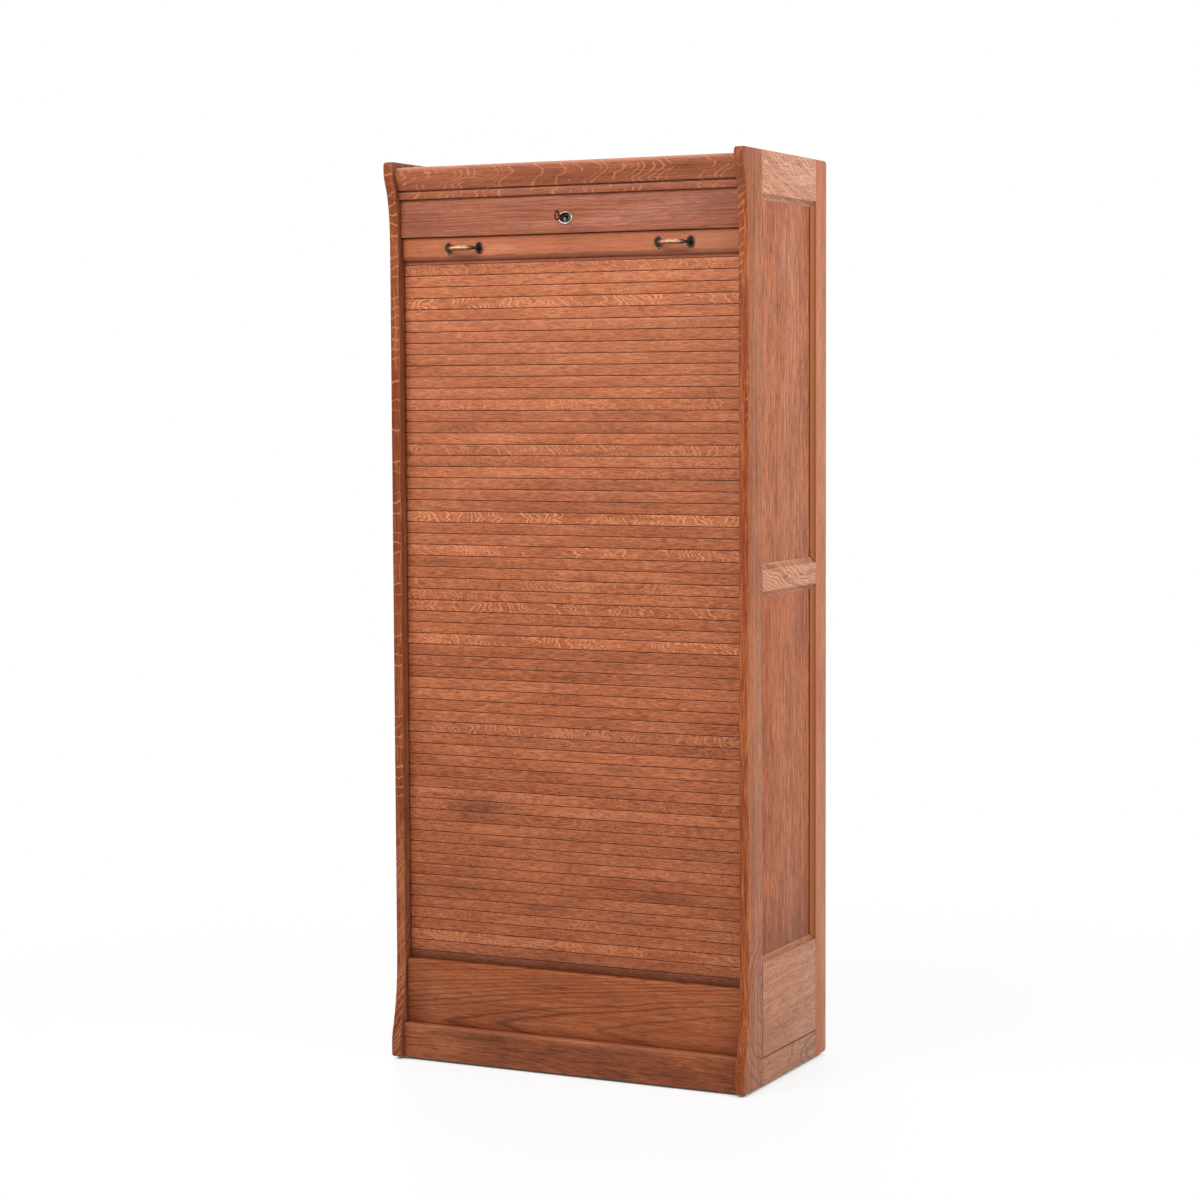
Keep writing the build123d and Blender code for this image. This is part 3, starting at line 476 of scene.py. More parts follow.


def oak(name, grain, tones, spot, aside=None, streaks=0.5, clouds=0.35, fine=0.75, fibres=(16.0, 480.0),
        flecks=(), figured=1.0, silky=None, rings=None, ringed=0.6, pored=0.5, dirt_and_shade=0.6, corner=0.006,
        worn=0.30, polish=0.44, shade=None, marks=()):
    """Polished oak in three tones, cut from its own spot in the tree. Side faces may have other tones, a lit
    copy as painted light.
    """
    finish, tree, shader = new_finish(name)
    place = board_place(tree, grain, spot)
    deep, _, pale = tones
    streak = cloudy(tree, place, (1.4, 85.0, 85.0), detail=4.0, rough=0.6)
    cloud = cloudy(tree, place, (4.5, 14.0, 14.0), detail=2.0)
    fibre = cloudy(tree, place, (fibres[0], fibres[1], fibres[1]), detail=3.0, rough=0.65)
    blend = calc(tree, "MULTIPLY_ADD", streak, streaks, 0.5 - 0.5 * (streaks + clouds + fine))
    blend = calc(tree, "MULTIPLY_ADD", cloud, clouds, blend)
    blend = calc(tree, "MULTIPLY_ADD", fibre, fine, blend)
    layers = tones
    # side faces may take a lit copy of the tones, as painted light from the side
    if aside:
        layers = [mixed(tree, looks_along(tree, "X"), *pair) for pair in zip(tones, aside)]
    wood = mixed(tree, step(tree, blend, *TO_MIDDLE), layers[0], layers[1])
    wood = mixed(tree, step(tree, blend, *TO_PALE), wood, layers[2])
    if rings:
        lines = calc(tree, "MULTIPLY", year_rings(tree, place, **rings), ringed)
        wood = mixed(tree, lines, wood, times((aside or tones)[0], 0.8))
    pores = step(tree, cloudy(tree, place, (42.0, 620.0, 620.0), detail=2.0), *PORE)
    wood = mixed(tree, calc(tree, "MULTIPLY", pores, pored), wood, times(deep, 0.7))
    for row in flecks:
        shine = calc(tree, "MULTIPLY", silk(tree, place, **row), settle(tree, figured))
        wood = mixed(tree, shine, wood, silky or tuple(1.15 * c + 0.03 for c in pale))
    if shade:
        wood = add(tree, "ShaderNodeHueSaturation", {"Color": wood, "Value": settle(tree, shade)}).outputs[0]
    # dark corners, found by looking round each point: dirt and painted shade together, and matt
    matt = step(tree, looked_round(tree, corner, False), *IN_CORNERS, dirt_and_shade, 0.0)
    corner_shade_and_dirt = matt
    for mark in marks:
        share, colour = mark(tree)
        wood = mixed(tree, share, wood, colour or times(deep, 0.35))
        matt = calc(tree, "MAXIMUM", matt, share) if colour and max(colour) < NEARLY_BLACK else matt
    rubbed = step(tree, looked_round(tree, EDGE_WEAR, True), *ON_EDGES, worn, 0.0)
    wood = mixed(tree, rubbed, wood, pale)
    wood = mixed(tree, corner_shade_and_dirt, wood, tuple(c * left for c, left in zip(deep, SHADE_AND_DIRT_TINT)))
    dull = step(tree, streak, 0.3, 0.7, polish + 0.08, polish - 0.04)
    dull = calc(tree, "MULTIPLY_ADD", pores, 0.18, dull)
    paint(tree, shader, wood, calc(tree, "MAXIMUM", dull, matt))
    height = calc(tree, "MULTIPLY_ADD", pores, -0.7, calc(tree, "MULTIPLY", fibre, 0.45))
    relief(tree, shader, height, 0.35, GRAIN_DEEP)
    shader.inputs["Specular IOR Level"].default_value = SHEEN
    return finish


print("Oak finish ready")

# %% [markdown]
# ## The boards
#
# A dressed piece takes the place of a CAD piece. It has to say which one, which body it rides with when the
# shutter or the key moves, and what it is made of. It is shaded smooth, except across real edges.

# %% A piece in the place of a CAD piece
ROUND_ENOUGH = math.radians(35)


def link(name, mesh, finish, body, replaced, smooth=ROUND_ENOUGH):
    """A new piece of the cabinet that stands for CAD pieces and rides with their body."""
    for face in mesh.polygons:
        face.use_smooth = True
    mesh.set_sharp_from_angle(angle=smooth)
    mesh.materials.clear()
    mesh.materials.append(finish)
    piece = bpy.data.objects.new(name, mesh)
    scene.collection.objects.link(piece)
    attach(piece, body)
    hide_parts(*replaced)
    return piece


print("Edges over", round(math.degrees(ROUND_ENOUGH)), "degrees stay sharp in the shading")

# %% [markdown]
# Every board of the real cabinet has softly rounded edges, where plane and sandpaper went over and hands
# wore them. The CAD boards are sharp. A bevel modifier could ease them all, but it would also round every
# screw hole, so the edges are chosen here: edges that stick out are followed from end to end, and only
# runs that are longer than a screw hole's rim are rounded. The copy then stands for the CAD board, and
# rides with the same body.

# %% Ease the edges of a board
WELD = 0.000002
NEARLY_FLAT, SOFT_EDGE = math.radians(0.4), math.radians(50)
SHORT_RUN = 0.045


def long_runs(edges, shortest):
    """The edges that hang together in a run longer than shortest."""
    left, kept = set(edges), []
    while left:
        run = [left.pop()]
        for edge in run:
            touching = {e for point in edge.verts for e in point.link_edges if e in left}
            left -= touching
            run += touching
        if sum(e.calc_length() for e in run) > shortest:
            kept += run
    return kept


def eased_mesh(node, radius, shortest=SHORT_RUN, steps=2):
    """A copy of a CAD piece with its outer edges rounded."""
    shape = bmesh.new()
    shape.from_mesh(nodes[node].data)
    bmesh.ops.remove_doubles(shape, verts=shape.verts, dist=WELD)
    bmesh.ops.dissolve_limit(shape, angle_limit=NEARLY_FLAT, verts=shape.verts, edges=shape.edges)
    sharp = [e for e in shape.edges if e.is_manifold and e.is_convex and e.calc_face_angle() > ROUND_ENOUGH]
    edges = long_runs(sharp, shortest)
    bmesh.ops.bevel(
        shape, geom=edges, offset=radius, offset_type="OFFSET", segments=steps, profile=0.5,
        affect="EDGES", clamp_overlap=False,
    )
    mesh = bpy.data.meshes.new(node + "_eased")
    shape.to_mesh(mesh)
    shape.free()
    for layer in [a for a in mesh.attributes if a.name == "custom_normal"]:
        mesh.attributes.remove(layer)
    return mesh, len(edges)


def ease(node, finish, radius, shortest=SHORT_RUN):
    """Put a copy with rounded edges in the place of a CAD piece, and count those edges."""
    mesh, count = eased_mesh(node, radius, shortest)
    link(node + "_eased", mesh, finish, body_of_node[node], [node], SOFT_EDGE)
    return count


print("Runs of edges under", 1000 * SHORT_RUN, "mm stay sharp")

# %% [markdown]
# Each board has its own tones. The front has kept its warm polish, while the sides are paler and pinker,
# partly in their own tone and partly as a painted sheen of the light from the side. The lock board is
# dull from years of hands, and the plinth is darkest, from mops and boots. Three tones are enough for
# each, because the finish mixes them.

# %% The tones of the boards
TONES = {  # deep, middle and pale
    "warm": ((0.215, 0.053, 0.017), (0.390, 0.110, 0.041), (0.520, 0.178, 0.080)),
    "rail": ((0.221, 0.058, 0.021), (0.402, 0.121, 0.051), (0.536, 0.196, 0.099)),
    "stile": ((0.151, 0.025, 0.004), (0.266, 0.052, 0.0085), (0.416, 0.130, 0.042)),
    "shaded": ((0.125, 0.021, 0.0034), (0.219, 0.043, 0.0073), (0.344, 0.108, 0.036)),
    # the side faces of the front stiles: a paler, pinker copy of the stile tones, as painted light from the
    # side
    "stile_side": ((0.190, 0.053, 0.016), (0.343, 0.106, 0.041), (0.470, 0.176, 0.079)),
    "moulding": ((0.172, 0.042, 0.017), (0.304, 0.085, 0.037), (0.412, 0.139, 0.066)),
    "dull": ((0.174, 0.046, 0.023), (0.322, 0.098, 0.050), (0.440, 0.156, 0.085)),
    "brown": ((0.138, 0.031, 0.009), (0.327, 0.084, 0.025), (0.428, 0.134, 0.047)),
    "dark": ((0.110, 0.027, 0.009), (0.270, 0.070, 0.022), (0.390, 0.115, 0.042)),
    "faded": ((0.215, 0.063, 0.026), (0.370, 0.115, 0.047), (0.490, 0.182, 0.085)),
    "sunned": ((0.219, 0.058, 0.020), (0.377, 0.105, 0.038), (0.500, 0.167, 0.068)),
    "bleached": ((0.260, 0.095, 0.048), (0.430, 0.165, 0.085), (0.545, 0.243, 0.140)),
    "ashen": ((0.258, 0.101, 0.052), (0.426, 0.176, 0.092), (0.540, 0.260, 0.151)),
    "straw": ((0.278, 0.096, 0.045), (0.460, 0.167, 0.079), (0.583, 0.245, 0.130)),
    "light": ((0.340, 0.135, 0.073), (0.480, 0.210, 0.125), (0.600, 0.297, 0.190)),
}
print(len(TONES), "sets of three tones")

# %% [markdown]
# The stiles, the moulding and the rails of the sides show flecks; the bottom board, the skirts and the
# foot of the stiles show arches. A figure is a set of numbers for `silk` or `year_rings`: how far apart
# its lines lie, how they slant and bend, how thin they are, and how much of the board they cover.

# %% The figure of the sides
CROSSING = dict(
    gap=0.022, slant=-0.10, bend=(0.05, 0.020, 1.2), thin=(0.40, 0.46), patch=(0.06, 0.03),
    cover=(0.28, 0.40), face="Y", fade=(0.38, 0.62),
)
ROPE = dict(
    gap=0.0056, slant=-0.90, bend=(0.06, 0.020, 1.8), thin=(0.16, 0.40), patch=(0.10, 0.03),
    cover=(0.22, 0.38), face="Y", fade=(0.62, 0.38),
)
TIGER = dict(
    gap=0.013, slant=-0.75, bend=(0.08, 0.02, 1.5), thin=(0.32, 0.45), patch=(0.25, 0.02),
    cover=(0.44, 0.56), face="Y", fade=(1.20, 1.50, 0.15, 1.0),
)
FLAME = dict(
    middle=-0.122, face=0.420, behind=-0.114, lean=0.60, ring=0.015, shake=0.035,
    fade=(0.36, 0.28), only="X",
)
SKIRT_ARCH = dict(
    middle=0.022, face=0.420, behind=-0.066, lean=0.40, ring=0.0150, shake=0.035,
    fade=(-0.03, 0.05), only="X",
)
LACE = dict(
    gap=0.0075, slant=1.30, bend=(0.03, 0.015, 4.0), thin=(0.14, 0.36), patch=(0.06, 0.02),
    cover=(0.25, 0.42),
)
WAVES = dict(
    gap=0.0078, slant=1.28, bend=(0.06, 0.030, 3.6), thin=(0.08, 0.32), patch=(0.10, 0.04),
    cover=(0.22, 0.38),
)
BLOTCHES = dict(
    gap=0.020, slant=1.30, bend=(0.06, 0.03, 5.0), thin=(0.20, 0.46), patch=(0.05, 0.02),
    cover=(0.46, 0.62),
)
print("Figures for stiles, rails and skirts ready")

# %% [markdown]
# The look of a board joins its tones, its figure and its marks. The bevel of the rear stile gets painted
# shade, golden, with a painted shadow at its foot; the panels get a painted shadow where they enter
# their grooves, the faces of the front stiles that look at the shutter get painted shade, and the foot
# of each side has turned grey. The two sides are alike, so each look is written once.

# %% The looks of the sides
# colours of the painted shade on the rear stile's bevel and of the painted shadow beside it
BEVEL_SHADE, BEVEL_SHADOW = (0.440, 0.130, 0.040), (0.090, 0.021, 0.004)
# the faces of the front stiles that look at the shutter get painted shade from this band
INNER_FACE = ("X", 0.3985, 0.4000)  # the faces of the stiles that look at the shutter
# a painted shadow where the panels meet the bevel of the rear stile
PANEL_EDGE_SHADOW = seam("Y", 0.1545, 0.0050, 0.95, BEVEL_SHADOW)
SKIRT_SEAM = seam("Z", 0.0635, 0.0022, 0.9)
GREY_FOOT = stain("Y", -0.170, 0.080, 0.120, 0.260, 0.18, (0.400, 0.205, 0.130), "X")
SIDE_BOARDS = {
    "front_stile": dict(
        grain="z", tones="stile", aside="stile_side", streaks=0.45, clouds=0.4, fine=1.1, rings=FLAME,
        ringed=1.0, marks=[band(*INNER_FACE, 0.30), GREY_FOOT],
    ),
    "rear_stile": dict(
        grain="z", tones="straw", streaks=0.4, dirt_and_shade=0.3, corner=0.003, worn=0.55,
        marks=[
            # painted shade on the bevel, and painted shadow at its foot and on faces that look straight to
            # the front
            painted_front_shade(0.95, BEVEL_SHADE), painted_front_shade(0.97, BEVEL_SHADOW, foot=(0.4112, 0.4132)),
            painted_front_shade(0.40, BEVEL_SHADOW, steep=(-0.95, -0.75)),
        ],
    ),
    "top_rail": dict(
        grain="y", tones="light", streaks=0.25, clouds=0.2, fine=1.1, flecks=[LACE], figured=0.9, shade=0.96,
    ),
    "middle_rail": dict(
        grain="y", tones="bleached", streaks=0.3, fine=1.1, flecks=[WAVES], figured=0.85, shade=0.98,
    ),
    "bottom_rail": dict(
        grain="y", tones="ashen", streaks=0.3, clouds=0.5, fine=0.6, fibres=(20.0, 450.0), flecks=[BLOTCHES],
        figured=0.25, pored=0.6,
        marks=[SKIRT_SEAM, seam("Y", -0.1290, 0.0022, 0.7), seam("Y", 0.1680, 0.0020, 0.5)],
    ),
    "skirt_board": dict(
        grain="y", tones="ashen", shade=0.96, rings=SKIRT_ARCH, ringed=1.0, marks=[SKIRT_SEAM],
    ),
    "upper_panel": dict(
        grain="z", tones="faded", streaks=0.3, clouds=0.45, fine=1.7, fibres=(14.0, 380.0), pored=0.8,
        shade=1.11,
        marks=[PANEL_EDGE_SHADOW, stain("Y", 0.010, 1.745, 0.016, 0.080, 0.45, (0.50, 0.28, 0.20))],
    ),
    "lower_panel": dict(
        grain="z", tones="sunned", streaks=0.45, clouds=0.45, fine=1.7, fibres=(14.0, 380.0), pored=0.8,
        shade=1.03,
        marks=[PANEL_EDGE_SHADOW, band("Z", 0.250, 0.420, 0.35)],
    ),
}
print("Looks of", len(SIDE_BOARDS), "boards of a side")

# %% [markdown]
# The front is what everybody sees, so its boards were chosen with care. The moulding shows hooked flecks,
# the lock board fine straight lines, and the bottom board a wide arch. Years have marked them: hands at
# the lock, water along the plinth. Marks of use are never spread evenly, so each one has its own place.
# Painted light and shade are laid on as well: a highlight on the upper curve of the moulding and shade on
# its lower part, a shadow under the lift rail, and a highlight along the top edge of the plinth.

# %% The looks of the front
HOOKS = dict(
    gap=0.018, slant=-0.2, bend=(0.05, 0.022, 2.6), wave=(0.052, 1.905, -0.016), thin=(0.31, 0.45),
    patch=(0.040, 0.018), cover=(0.42, 0.51),
)
LOCK_LINES = dict(middle=0.6, face=0.192, behind=0.0, ring=0.0072, shake=0.035)
BOTTOM_ARCH = dict(
    middle=0.101, face=0.194, behind=0.005, rise=-0.22, tilt=0.03, crowd=11.0, ring=0.024, shake=0.038,
)
PLINTH_ARCH = dict(middle=0.0, face=0.2125, behind=0.040, lean=0.14, ring=0.008)
FRONT_BOARDS = {
    "top_moulding": dict(
        grain="x", tones="moulding", flecks=[HOOKS], figured=0.75, silky=(0.530, 0.205, 0.086),
        corner=0.0020, dirt_and_shade=0.10,
        # painted shade on the lower part of the moulding and a painted highlight on its upper curve
        marks=[band("Z", 1.892, 1.924, 0.10), painted_top_light(0.60, 0.18, (0.600, 0.265, 0.165))],
    ),
    "lock_board": dict(
        grain="x", tones="dull", streaks=0.2, clouds=0.15, fine=0.8, fibres=(6.0, 520.0), rings=LOCK_LINES,
        ringed=0.55, dirt_and_shade=0.35, corner=0.004,
        marks=[stain("X", 0.345, 1.835, 0.085, 0.050, 0.25), stain("X", -0.360, 1.825, 0.070, 0.045, 0.25)],
    ),
    "lift_rail": dict(
        grain="x", tones="rail", streaks=0.25, fine=0.5, pored=0.3, dirt_and_shade=0.35,
        marks=[
            # a painted shadow on the rail's rounded lower edge and painted shade on the lip below it
            seam("Z", 1.7425, 0.0060, 0.60), band("Z", 1.7372, 1.7385, 0.25),
            stain("X", 0.350, 1.768, 0.120, 0.060, 0.28, (0.385, 0.150, 0.085)),
        ],
    ),
    "bottom_board": dict(
        grain="x", tones="brown", streaks=0.45, clouds=0.3, fine=0.65, rings=BOTTOM_ARCH, ringed=0.80,
        marks=[stain("X", -0.380, 0.130, 0.060, 0.090, 0.35), stain("X", -0.035, 0.212, 0.002, 0.006, 0.7)],
    ),
    "plinth": dict(
        grain="x", tones="dark", streaks=0.4, clouds=0.7, fine=0.7, fibres=(24.0, 320.0), rings=PLINTH_ARCH,
        ringed=0.4,
        marks=[
            # a painted highlight along the top edge of the plinth
            band("Z", 0.082, 0.066, 0.35, (0.360, 0.135, 0.070)),
            stain("X", -0.220, 0.062, 0.140, 0.014, 0.45),
            stain("X", 0.080, 0.062, 0.110, 0.010, 0.35), stain("X", 0.250, 0.030, 0.090, 0.020, 0.3),
        ],
    ),
}
print("Looks of", len(FRONT_BOARDS), "boards of the front")

# %% [markdown]
# Now every board gets its finish and its rounded edges. The two front stiles differ: the left one has ray
# flecks like a rope, the right one has stripes. A board whose rings or waves have to fall in one place
# keeps the origin of the pattern. All others are cut from a chance spot in the tree, drawn from the
# board's own name, so that the spot is the same each time the script runs.

# %% Dress the boards
OWN_LOOKS = {
    "left_front_stile": dict(
        tones="shaded", flecks=[CROSSING, ROPE], marks=[band(*INNER_FACE, 0.42), GREY_FOOT],
    ),
    "right_front_stile": dict(
        flecks=[TIGER], figured=0.85,
        marks=[
            band(*INNER_FACE, 0.30), GREY_FOOT,
            stain("X", 0.410, 1.890, 0.040, 0.055, 0.55, (0.170, 0.062, 0.030), "Y"),
        ],
    ),
}
EASE = {"front_stile": 0.0024, "rear_stile": 0.0020, "top_moulding": 0.0010}
PLAIN_EASE = 0.0012
SHARP_BELOW = {"lift_rail": 0.30}  # keeps the mouth of the bolt pocket sharp
TREE_HALF = 5.0


def cut_spot(node):
    """A board's own chance spot in the tree."""
    chance = random.Random(node)
    return tuple(chance.uniform(-TREE_HALF, TREE_HALF) for _ in range(3))


boards = {side + n: row for side in ("left_", "right_") for n, row in SIDE_BOARDS.items()} | FRONT_BOARDS
for node, row in boards.items():
    look = row | OWN_LOOKS.get(node, {})
    in_place = "rings" in row or any("wave" in fleck for fleck in row.get("flecks", ()))
    spot = (0.0, 0.0, 0.0) if in_place else cut_spot(node)
    for faces in ("tones", "aside"):
        look[faces] = TONES.get(look.get(faces))
    finish = oak("oak_" + node, spot=spot, **look)
    radius = EASE.get(node.removeprefix("left_").removeprefix("right_"), PLAIN_EASE)
    print(node, "with", ease(node, finish, radius, SHARP_BELOW.get(node, SHORT_RUN)), "eased edges")

# %% [markdown]
# ## The tambour
#
# The shutter is a row of narrow oak strips glued to a canvas. They were sawn from many boards, so each
# strip has its own tone, and some show flecks. One finish serves all: numbers stored on each strip's mesh
# say where in the tree it was cut, how dark it is and how much of the ray figure it shows.
#
# When the shutter is pulled down, the strips run behind the bottom board and up the back. Rigid pieces
# can't bend round a corner, so here the strips and their canvas ride with the carcass and stay where they
# are.

# %% Lay out the slats
slat_low, slat_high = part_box("tambour_slats")
SLAT_COUNT = 66
SLAT_ROOM = 0.0009
LOWER_ROUND, UPPER_ROUND = 0.0012, 0.0018
CROWN = 0.00035
STATIONS = 24
SLAT_SEED = 66
SHY, TIP, SAG = 0.0005, 0.0003, 0.00008  # metres that a strip may stand back, tip over and bend
BENDS = 7.0  # radians of bend along each metre
SHADE_SPREAD = 0.04
PLAIN_FIGURE, PLAIN_SPREAD = 0.13, 0.08
FIGURE_PALER, LOWER_SHADE_DARKER = 0.05, 0.08
FIGURED = {  # strips counted from the top, and how much figure they show
    0: 0.45, 3: 1.0, 12: 0.45, 16: 0.75, 17: 0.3, 18: 0.3, 22: 1.0, 25: 0.9, 28: 0.5, 29: 0.4, 30: 0.75,
    33: 0.85, 41: 0.7, 60: 0.7,
}
SHADED = {  # strips that are darker than the rest, most by their own tone, the lowest by painted shadow behind the bottom board
    5: 0.93, 14: 0.94, 15: 0.95, 19: 0.93, 21: 0.93, 24: 0.94, 26: 0.94, 31: 0.94, 34: 0.92, 35: 0.92,
    36: 0.92, 61: 0.82, 62: 0.45, 63: 0.4, 64: 0.4, 65: 0.4,
}
LOWER_SHADE_FROM, LOWER_SHADE_OVER = 38, 16  # the strips below this one get darker, more and more, as painted shade
pitch = (slat_high.z - slat_low.z + SLAT_ROOM) / SLAT_COUNT
thick = slat_high.y - slat_low.y
print(SLAT_COUNT, "slats at", round(1000 * pitch, 2), "mm")

# %% [markdown]
# A real strip is a little crowned, its upper edge is rounded more than its lower one and catches the
# light, and it is never quite straight. An array of one strip would be too even, so the section and small
# seeded bends are made here point by point.

# %% Plane the slats
def slat_section():
    """Points round one strip: depth before the canvas, and height above its lower edge."""
    high, front = pitch - SLAT_ROOM, thick - CROWN
    quarter = [math.radians(22.5 * n) for n in range(5)]
    points = [(0.0, 0.0)]
    for a in quarter:
        points.append((front - LOWER_ROUND * (1 - math.sin(a)), LOWER_ROUND * (1 - math.cos(a))))
    for share in (0.25, 0.5, 0.75):
        points.append((thick - CROWN * (2 * share - 1) ** 2, high * share))
    for a in quarter:
        points.append((front - UPPER_ROUND * (1 - math.cos(a)), high - UPPER_ROUND * (1 - math.sin(a))))
    return points + [(0.0, high)]


def strip_numbers(chance, from_top):
    """A strip's spot in the tree, its shade and its figure."""
    spot, shade = chance.uniform(0, 60), chance.gauss(1.0, SHADE_SPREAD)
    plain = max(0.0, chance.gauss(PLAIN_FIGURE, PLAIN_SPREAD))
    figure = FIGURED.get(from_top, plain)
    # lower strips get darker and darker, as painted shade
    shaded_low = min(1.0, max(0.0, (from_top - LOWER_SHADE_FROM) / LOWER_SHADE_OVER))
    shade *= SHADED.get(from_top, 1.0)
    return spot, shade * (1 + FIGURE_PALER * figure) * (1 - LOWER_SHADE_DARKER * shaded_low), figure


def slat_mesh():
    """All strips in one mesh, with each strip's own numbers on its points."""
    section = slat_section()
    ring = len(section)
    points, faces, numbers = [], [], []
    chance = random.Random(SLAT_SEED)
    for n in range(SLAT_COUNT):
        foot = slat_low.z + n * pitch
        shy, tip = chance.uniform(0.0, SHY), chance.uniform(-TIP, TIP)
        sag, phase = chance.uniform(-SAG, SAG), chance.uniform(0, math.tau)
        own = strip_numbers(chance, SLAT_COUNT - 1 - n)
        first = len(points)
        for s in range(STATIONS + 1):
            x = slat_low.x + (slat_high.x - slat_low.x) * s / STATIONS
            lift = sag * math.sin(phase + BENDS * x)
            for depth, rise in section:
                back = (shy + (rise / pitch - 0.5) * tip) * depth / thick
                points.append((x, slat_high.y - depth + back, foot + rise + lift))
                numbers.append(own)
        for s in range(STATIONS):
            for i in range(ring):
                a, b = first + s * ring + i, first + s * ring + (i + 1) % ring
                faces.append((a, b, b + ring, a + ring))
        faces += [tuple(range(first + ring - 1, first - 1, -1))]
        faces += [tuple(range(first + STATIONS * ring, first + (STATIONS + 1) * ring))]
    mesh = bpy.data.meshes.new("slats")
    mesh.from_pydata(points, [], faces)
    for column, word in enumerate(("strip_spot", "strip_shade", "strip_figure")):
        layer = mesh.attributes.new(word, "FLOAT", "POINT")
        layer.data.foreach_set("value", [row[column] for row in numbers])
    return mesh


slats = slat_mesh()
print("Slats with", len(slats.polygons), "faces")

# %% [markdown]
# The strips are all finished with one oak. It reads the three numbers of each strip, so it changes from
# strip to strip without a material for each. Spills that ran over several strips, a painted sheen on the
# upper half and painted shade on the lower one are laid over all of them.

# %% Finish the slats
SPILLS = [  # across, up, half width, half height in metres, and darkness
    (-0.226, 0.557, 0.100, 0.040, 0.45), (0.102, 0.662, 0.065, 0.012, 0.35),
    (-0.187, 0.483, 0.050, 0.010, 0.35), (-0.261, 0.439, 0.080, 0.016, 0.30),
    (0.196, 0.394, 0.085, 0.013, 0.40), (-0.064, 0.351, 0.070, 0.016, 0.35),
    (-0.289, 0.384, 0.080, 0.015, 0.25), (0.130, 1.264, 0.120, 0.012, 0.25),
    (0.105, 1.228, 0.090, 0.010, 0.25), (0.341, 1.272, 0.050, 0.010, 0.35),
    (0.038, 1.064, 0.060, 0.011, 0.30), (0.103, 0.880, 0.100, 0.016, 0.30),
    (-0.322, 1.091, 0.070, 0.012, 0.30), (-0.339, 1.138, 0.050, 0.010, 0.20),
]
DASHES = dict(
    gap=0.011, slant=0.55, bend=(0.12, 0.028, 9.0), thin=(0.24, 0.42), patch=(0.10, 0.02),
    cover=(0.36, 0.46),
)
# a painted sheen on the upper strips, and painted shade, darker towards the bottom, on the lower ones
UPPER_SHEEN = band("Z", 1.40, 0.95, 0.07, (0.78, 0.31, 0.165))
LOWER_SHADE = band("Z", 0.35, 0.75, 0.10, (0.20, 0.040, 0.008))


def from_strip(word):
    """Reads a number that is stored on each strip."""
    return lambda tree: add(tree, "ShaderNodeAttribute", attribute_name=word).outputs["Fac"]


slat_finish = oak(
    "oak_slats", "x", TONES["warm"], from_strip("strip_spot"), streaks=0.30, clouds=0.45, fine=1.0,
    fibres=(55.0, 400.0), pored=0.7, silky=(0.625, 0.242, 0.110), flecks=[DASHES],
    figured=from_strip("strip_figure"), dirt_and_shade=1.0, corner=0.0048, worn=0.30,
    shade=from_strip("strip_shade"), marks=[stain("X", *row) for row in SPILLS] + [UPPER_SHEEN, LOWER_SHADE],
)
tambour = link("tambour", slats, slat_finish, "carcass", ["tambour_slats"])
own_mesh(tambour)
print("Spills:", len(SPILLS))

# %% [markdown]
# ## The canvas
#
# Behind the slats a strong linen canvas is glued from end to end and holds them in a row. It shows only
# from inside the cupboard. It is one sheet, pulled tight, a little sucked in between the strips; the
# weave is too fine to model, so two crossing waves in the finish make the threads.

# %% Stretch the canvas
canvas_low, canvas_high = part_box("tambour_canvas")
THREAD, THREAD_DEEP = 0.0013, 0.0003
DIP = 0.00025


def canvas_mesh(columns=10, rows=132):
    """A sheet behind the strips, drawn in a little at each joint."""
    grid = bmesh.new()
    wide, high = canvas_high.x - canvas_low.x, canvas_high.z - canvas_low.z
    lines = []
    for r in range(rows + 1):
        z = canvas_low.z + high * r / rows
        y = (canvas_low.y + canvas_high.y) / 2 - DIP * math.cos(math.tau * (z - slat_low.z) / pitch)
        lines.append([grid.verts.new((canvas_low.x + wide * c / columns, y, z)) for c in range(columns + 1)])
    for lower, upper in zip(lines, lines[1:]):
        for c in range(columns):
            grid.faces.new((lower[c], upper[c], upper[c + 1], lower[c + 1]))
    mesh = bpy.data.meshes.new("canvas")
    grid.to_mesh(mesh)
    grid.free()
    return mesh, (wide, high)


def linen():
    """Old linen, woven of uneven threads and browned in places."""
    finish, tree, shader = new_finish("linen_canvas")
    place = own_place(tree)
    numbers = apart(tree, place)
    warp, weft = (calc(tree, "SINE", calc(tree, "MULTIPLY", numbers[a], math.tau / THREAD)) for a in "XZ")
    weave = calc(tree, "MULTIPLY", warp, weft)
    slub = cloudy(tree, place, (40.0, 40.0, 500.0), detail=2.0)
    tone = mixed(tree, step(tree, slub, 0.35, 0.65), (0.30, 0.24, 0.16), (0.44, 0.36, 0.25))
    tone = mixed(tree, step(tree, weave, -1.0, 1.0, 0.35, 0.0), tone, (0.14, 0.10, 0.06))
    old = step(tree, cloudy(tree, place, (5.0, 5.0, 3.0), detail=4.0), 0.5, 0.75, 0.0, 0.5)
    tone = mixed(tree, old, tone, (0.20, 0.14, 0.08))
    paint(tree, shader, tone, step(tree, slub, 0.3, 0.7, 0.85, 0.95))
    relief(tree, shader, weave, 0.5, THREAD_DEEP)
    return finish


canvas_sheet, canvas_size = canvas_mesh()
canvas = link("canvas", canvas_sheet, linen(), "carcass", ["tambour_canvas"])
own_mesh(canvas)
print("Canvas of", [round(s, 3) for s in canvas_size], "m")

# %% [markdown]
# ## Metal finishes
#
# Old metal shows where it is touched. The handles are black in the hollows, then grey, then copper, and
# bright on the front of the leaf, where wear and a painted highlight meet; the lock ring shines, the key
# has gone brown. So one recipe takes a few tones from the least to the most worn, and a rule for where it
# is worn: a number stored on the mesh if there is one, which on the handles' leaves also holds painted
# highlight and shade, and always some noise, fine scratches and the dark of corners.

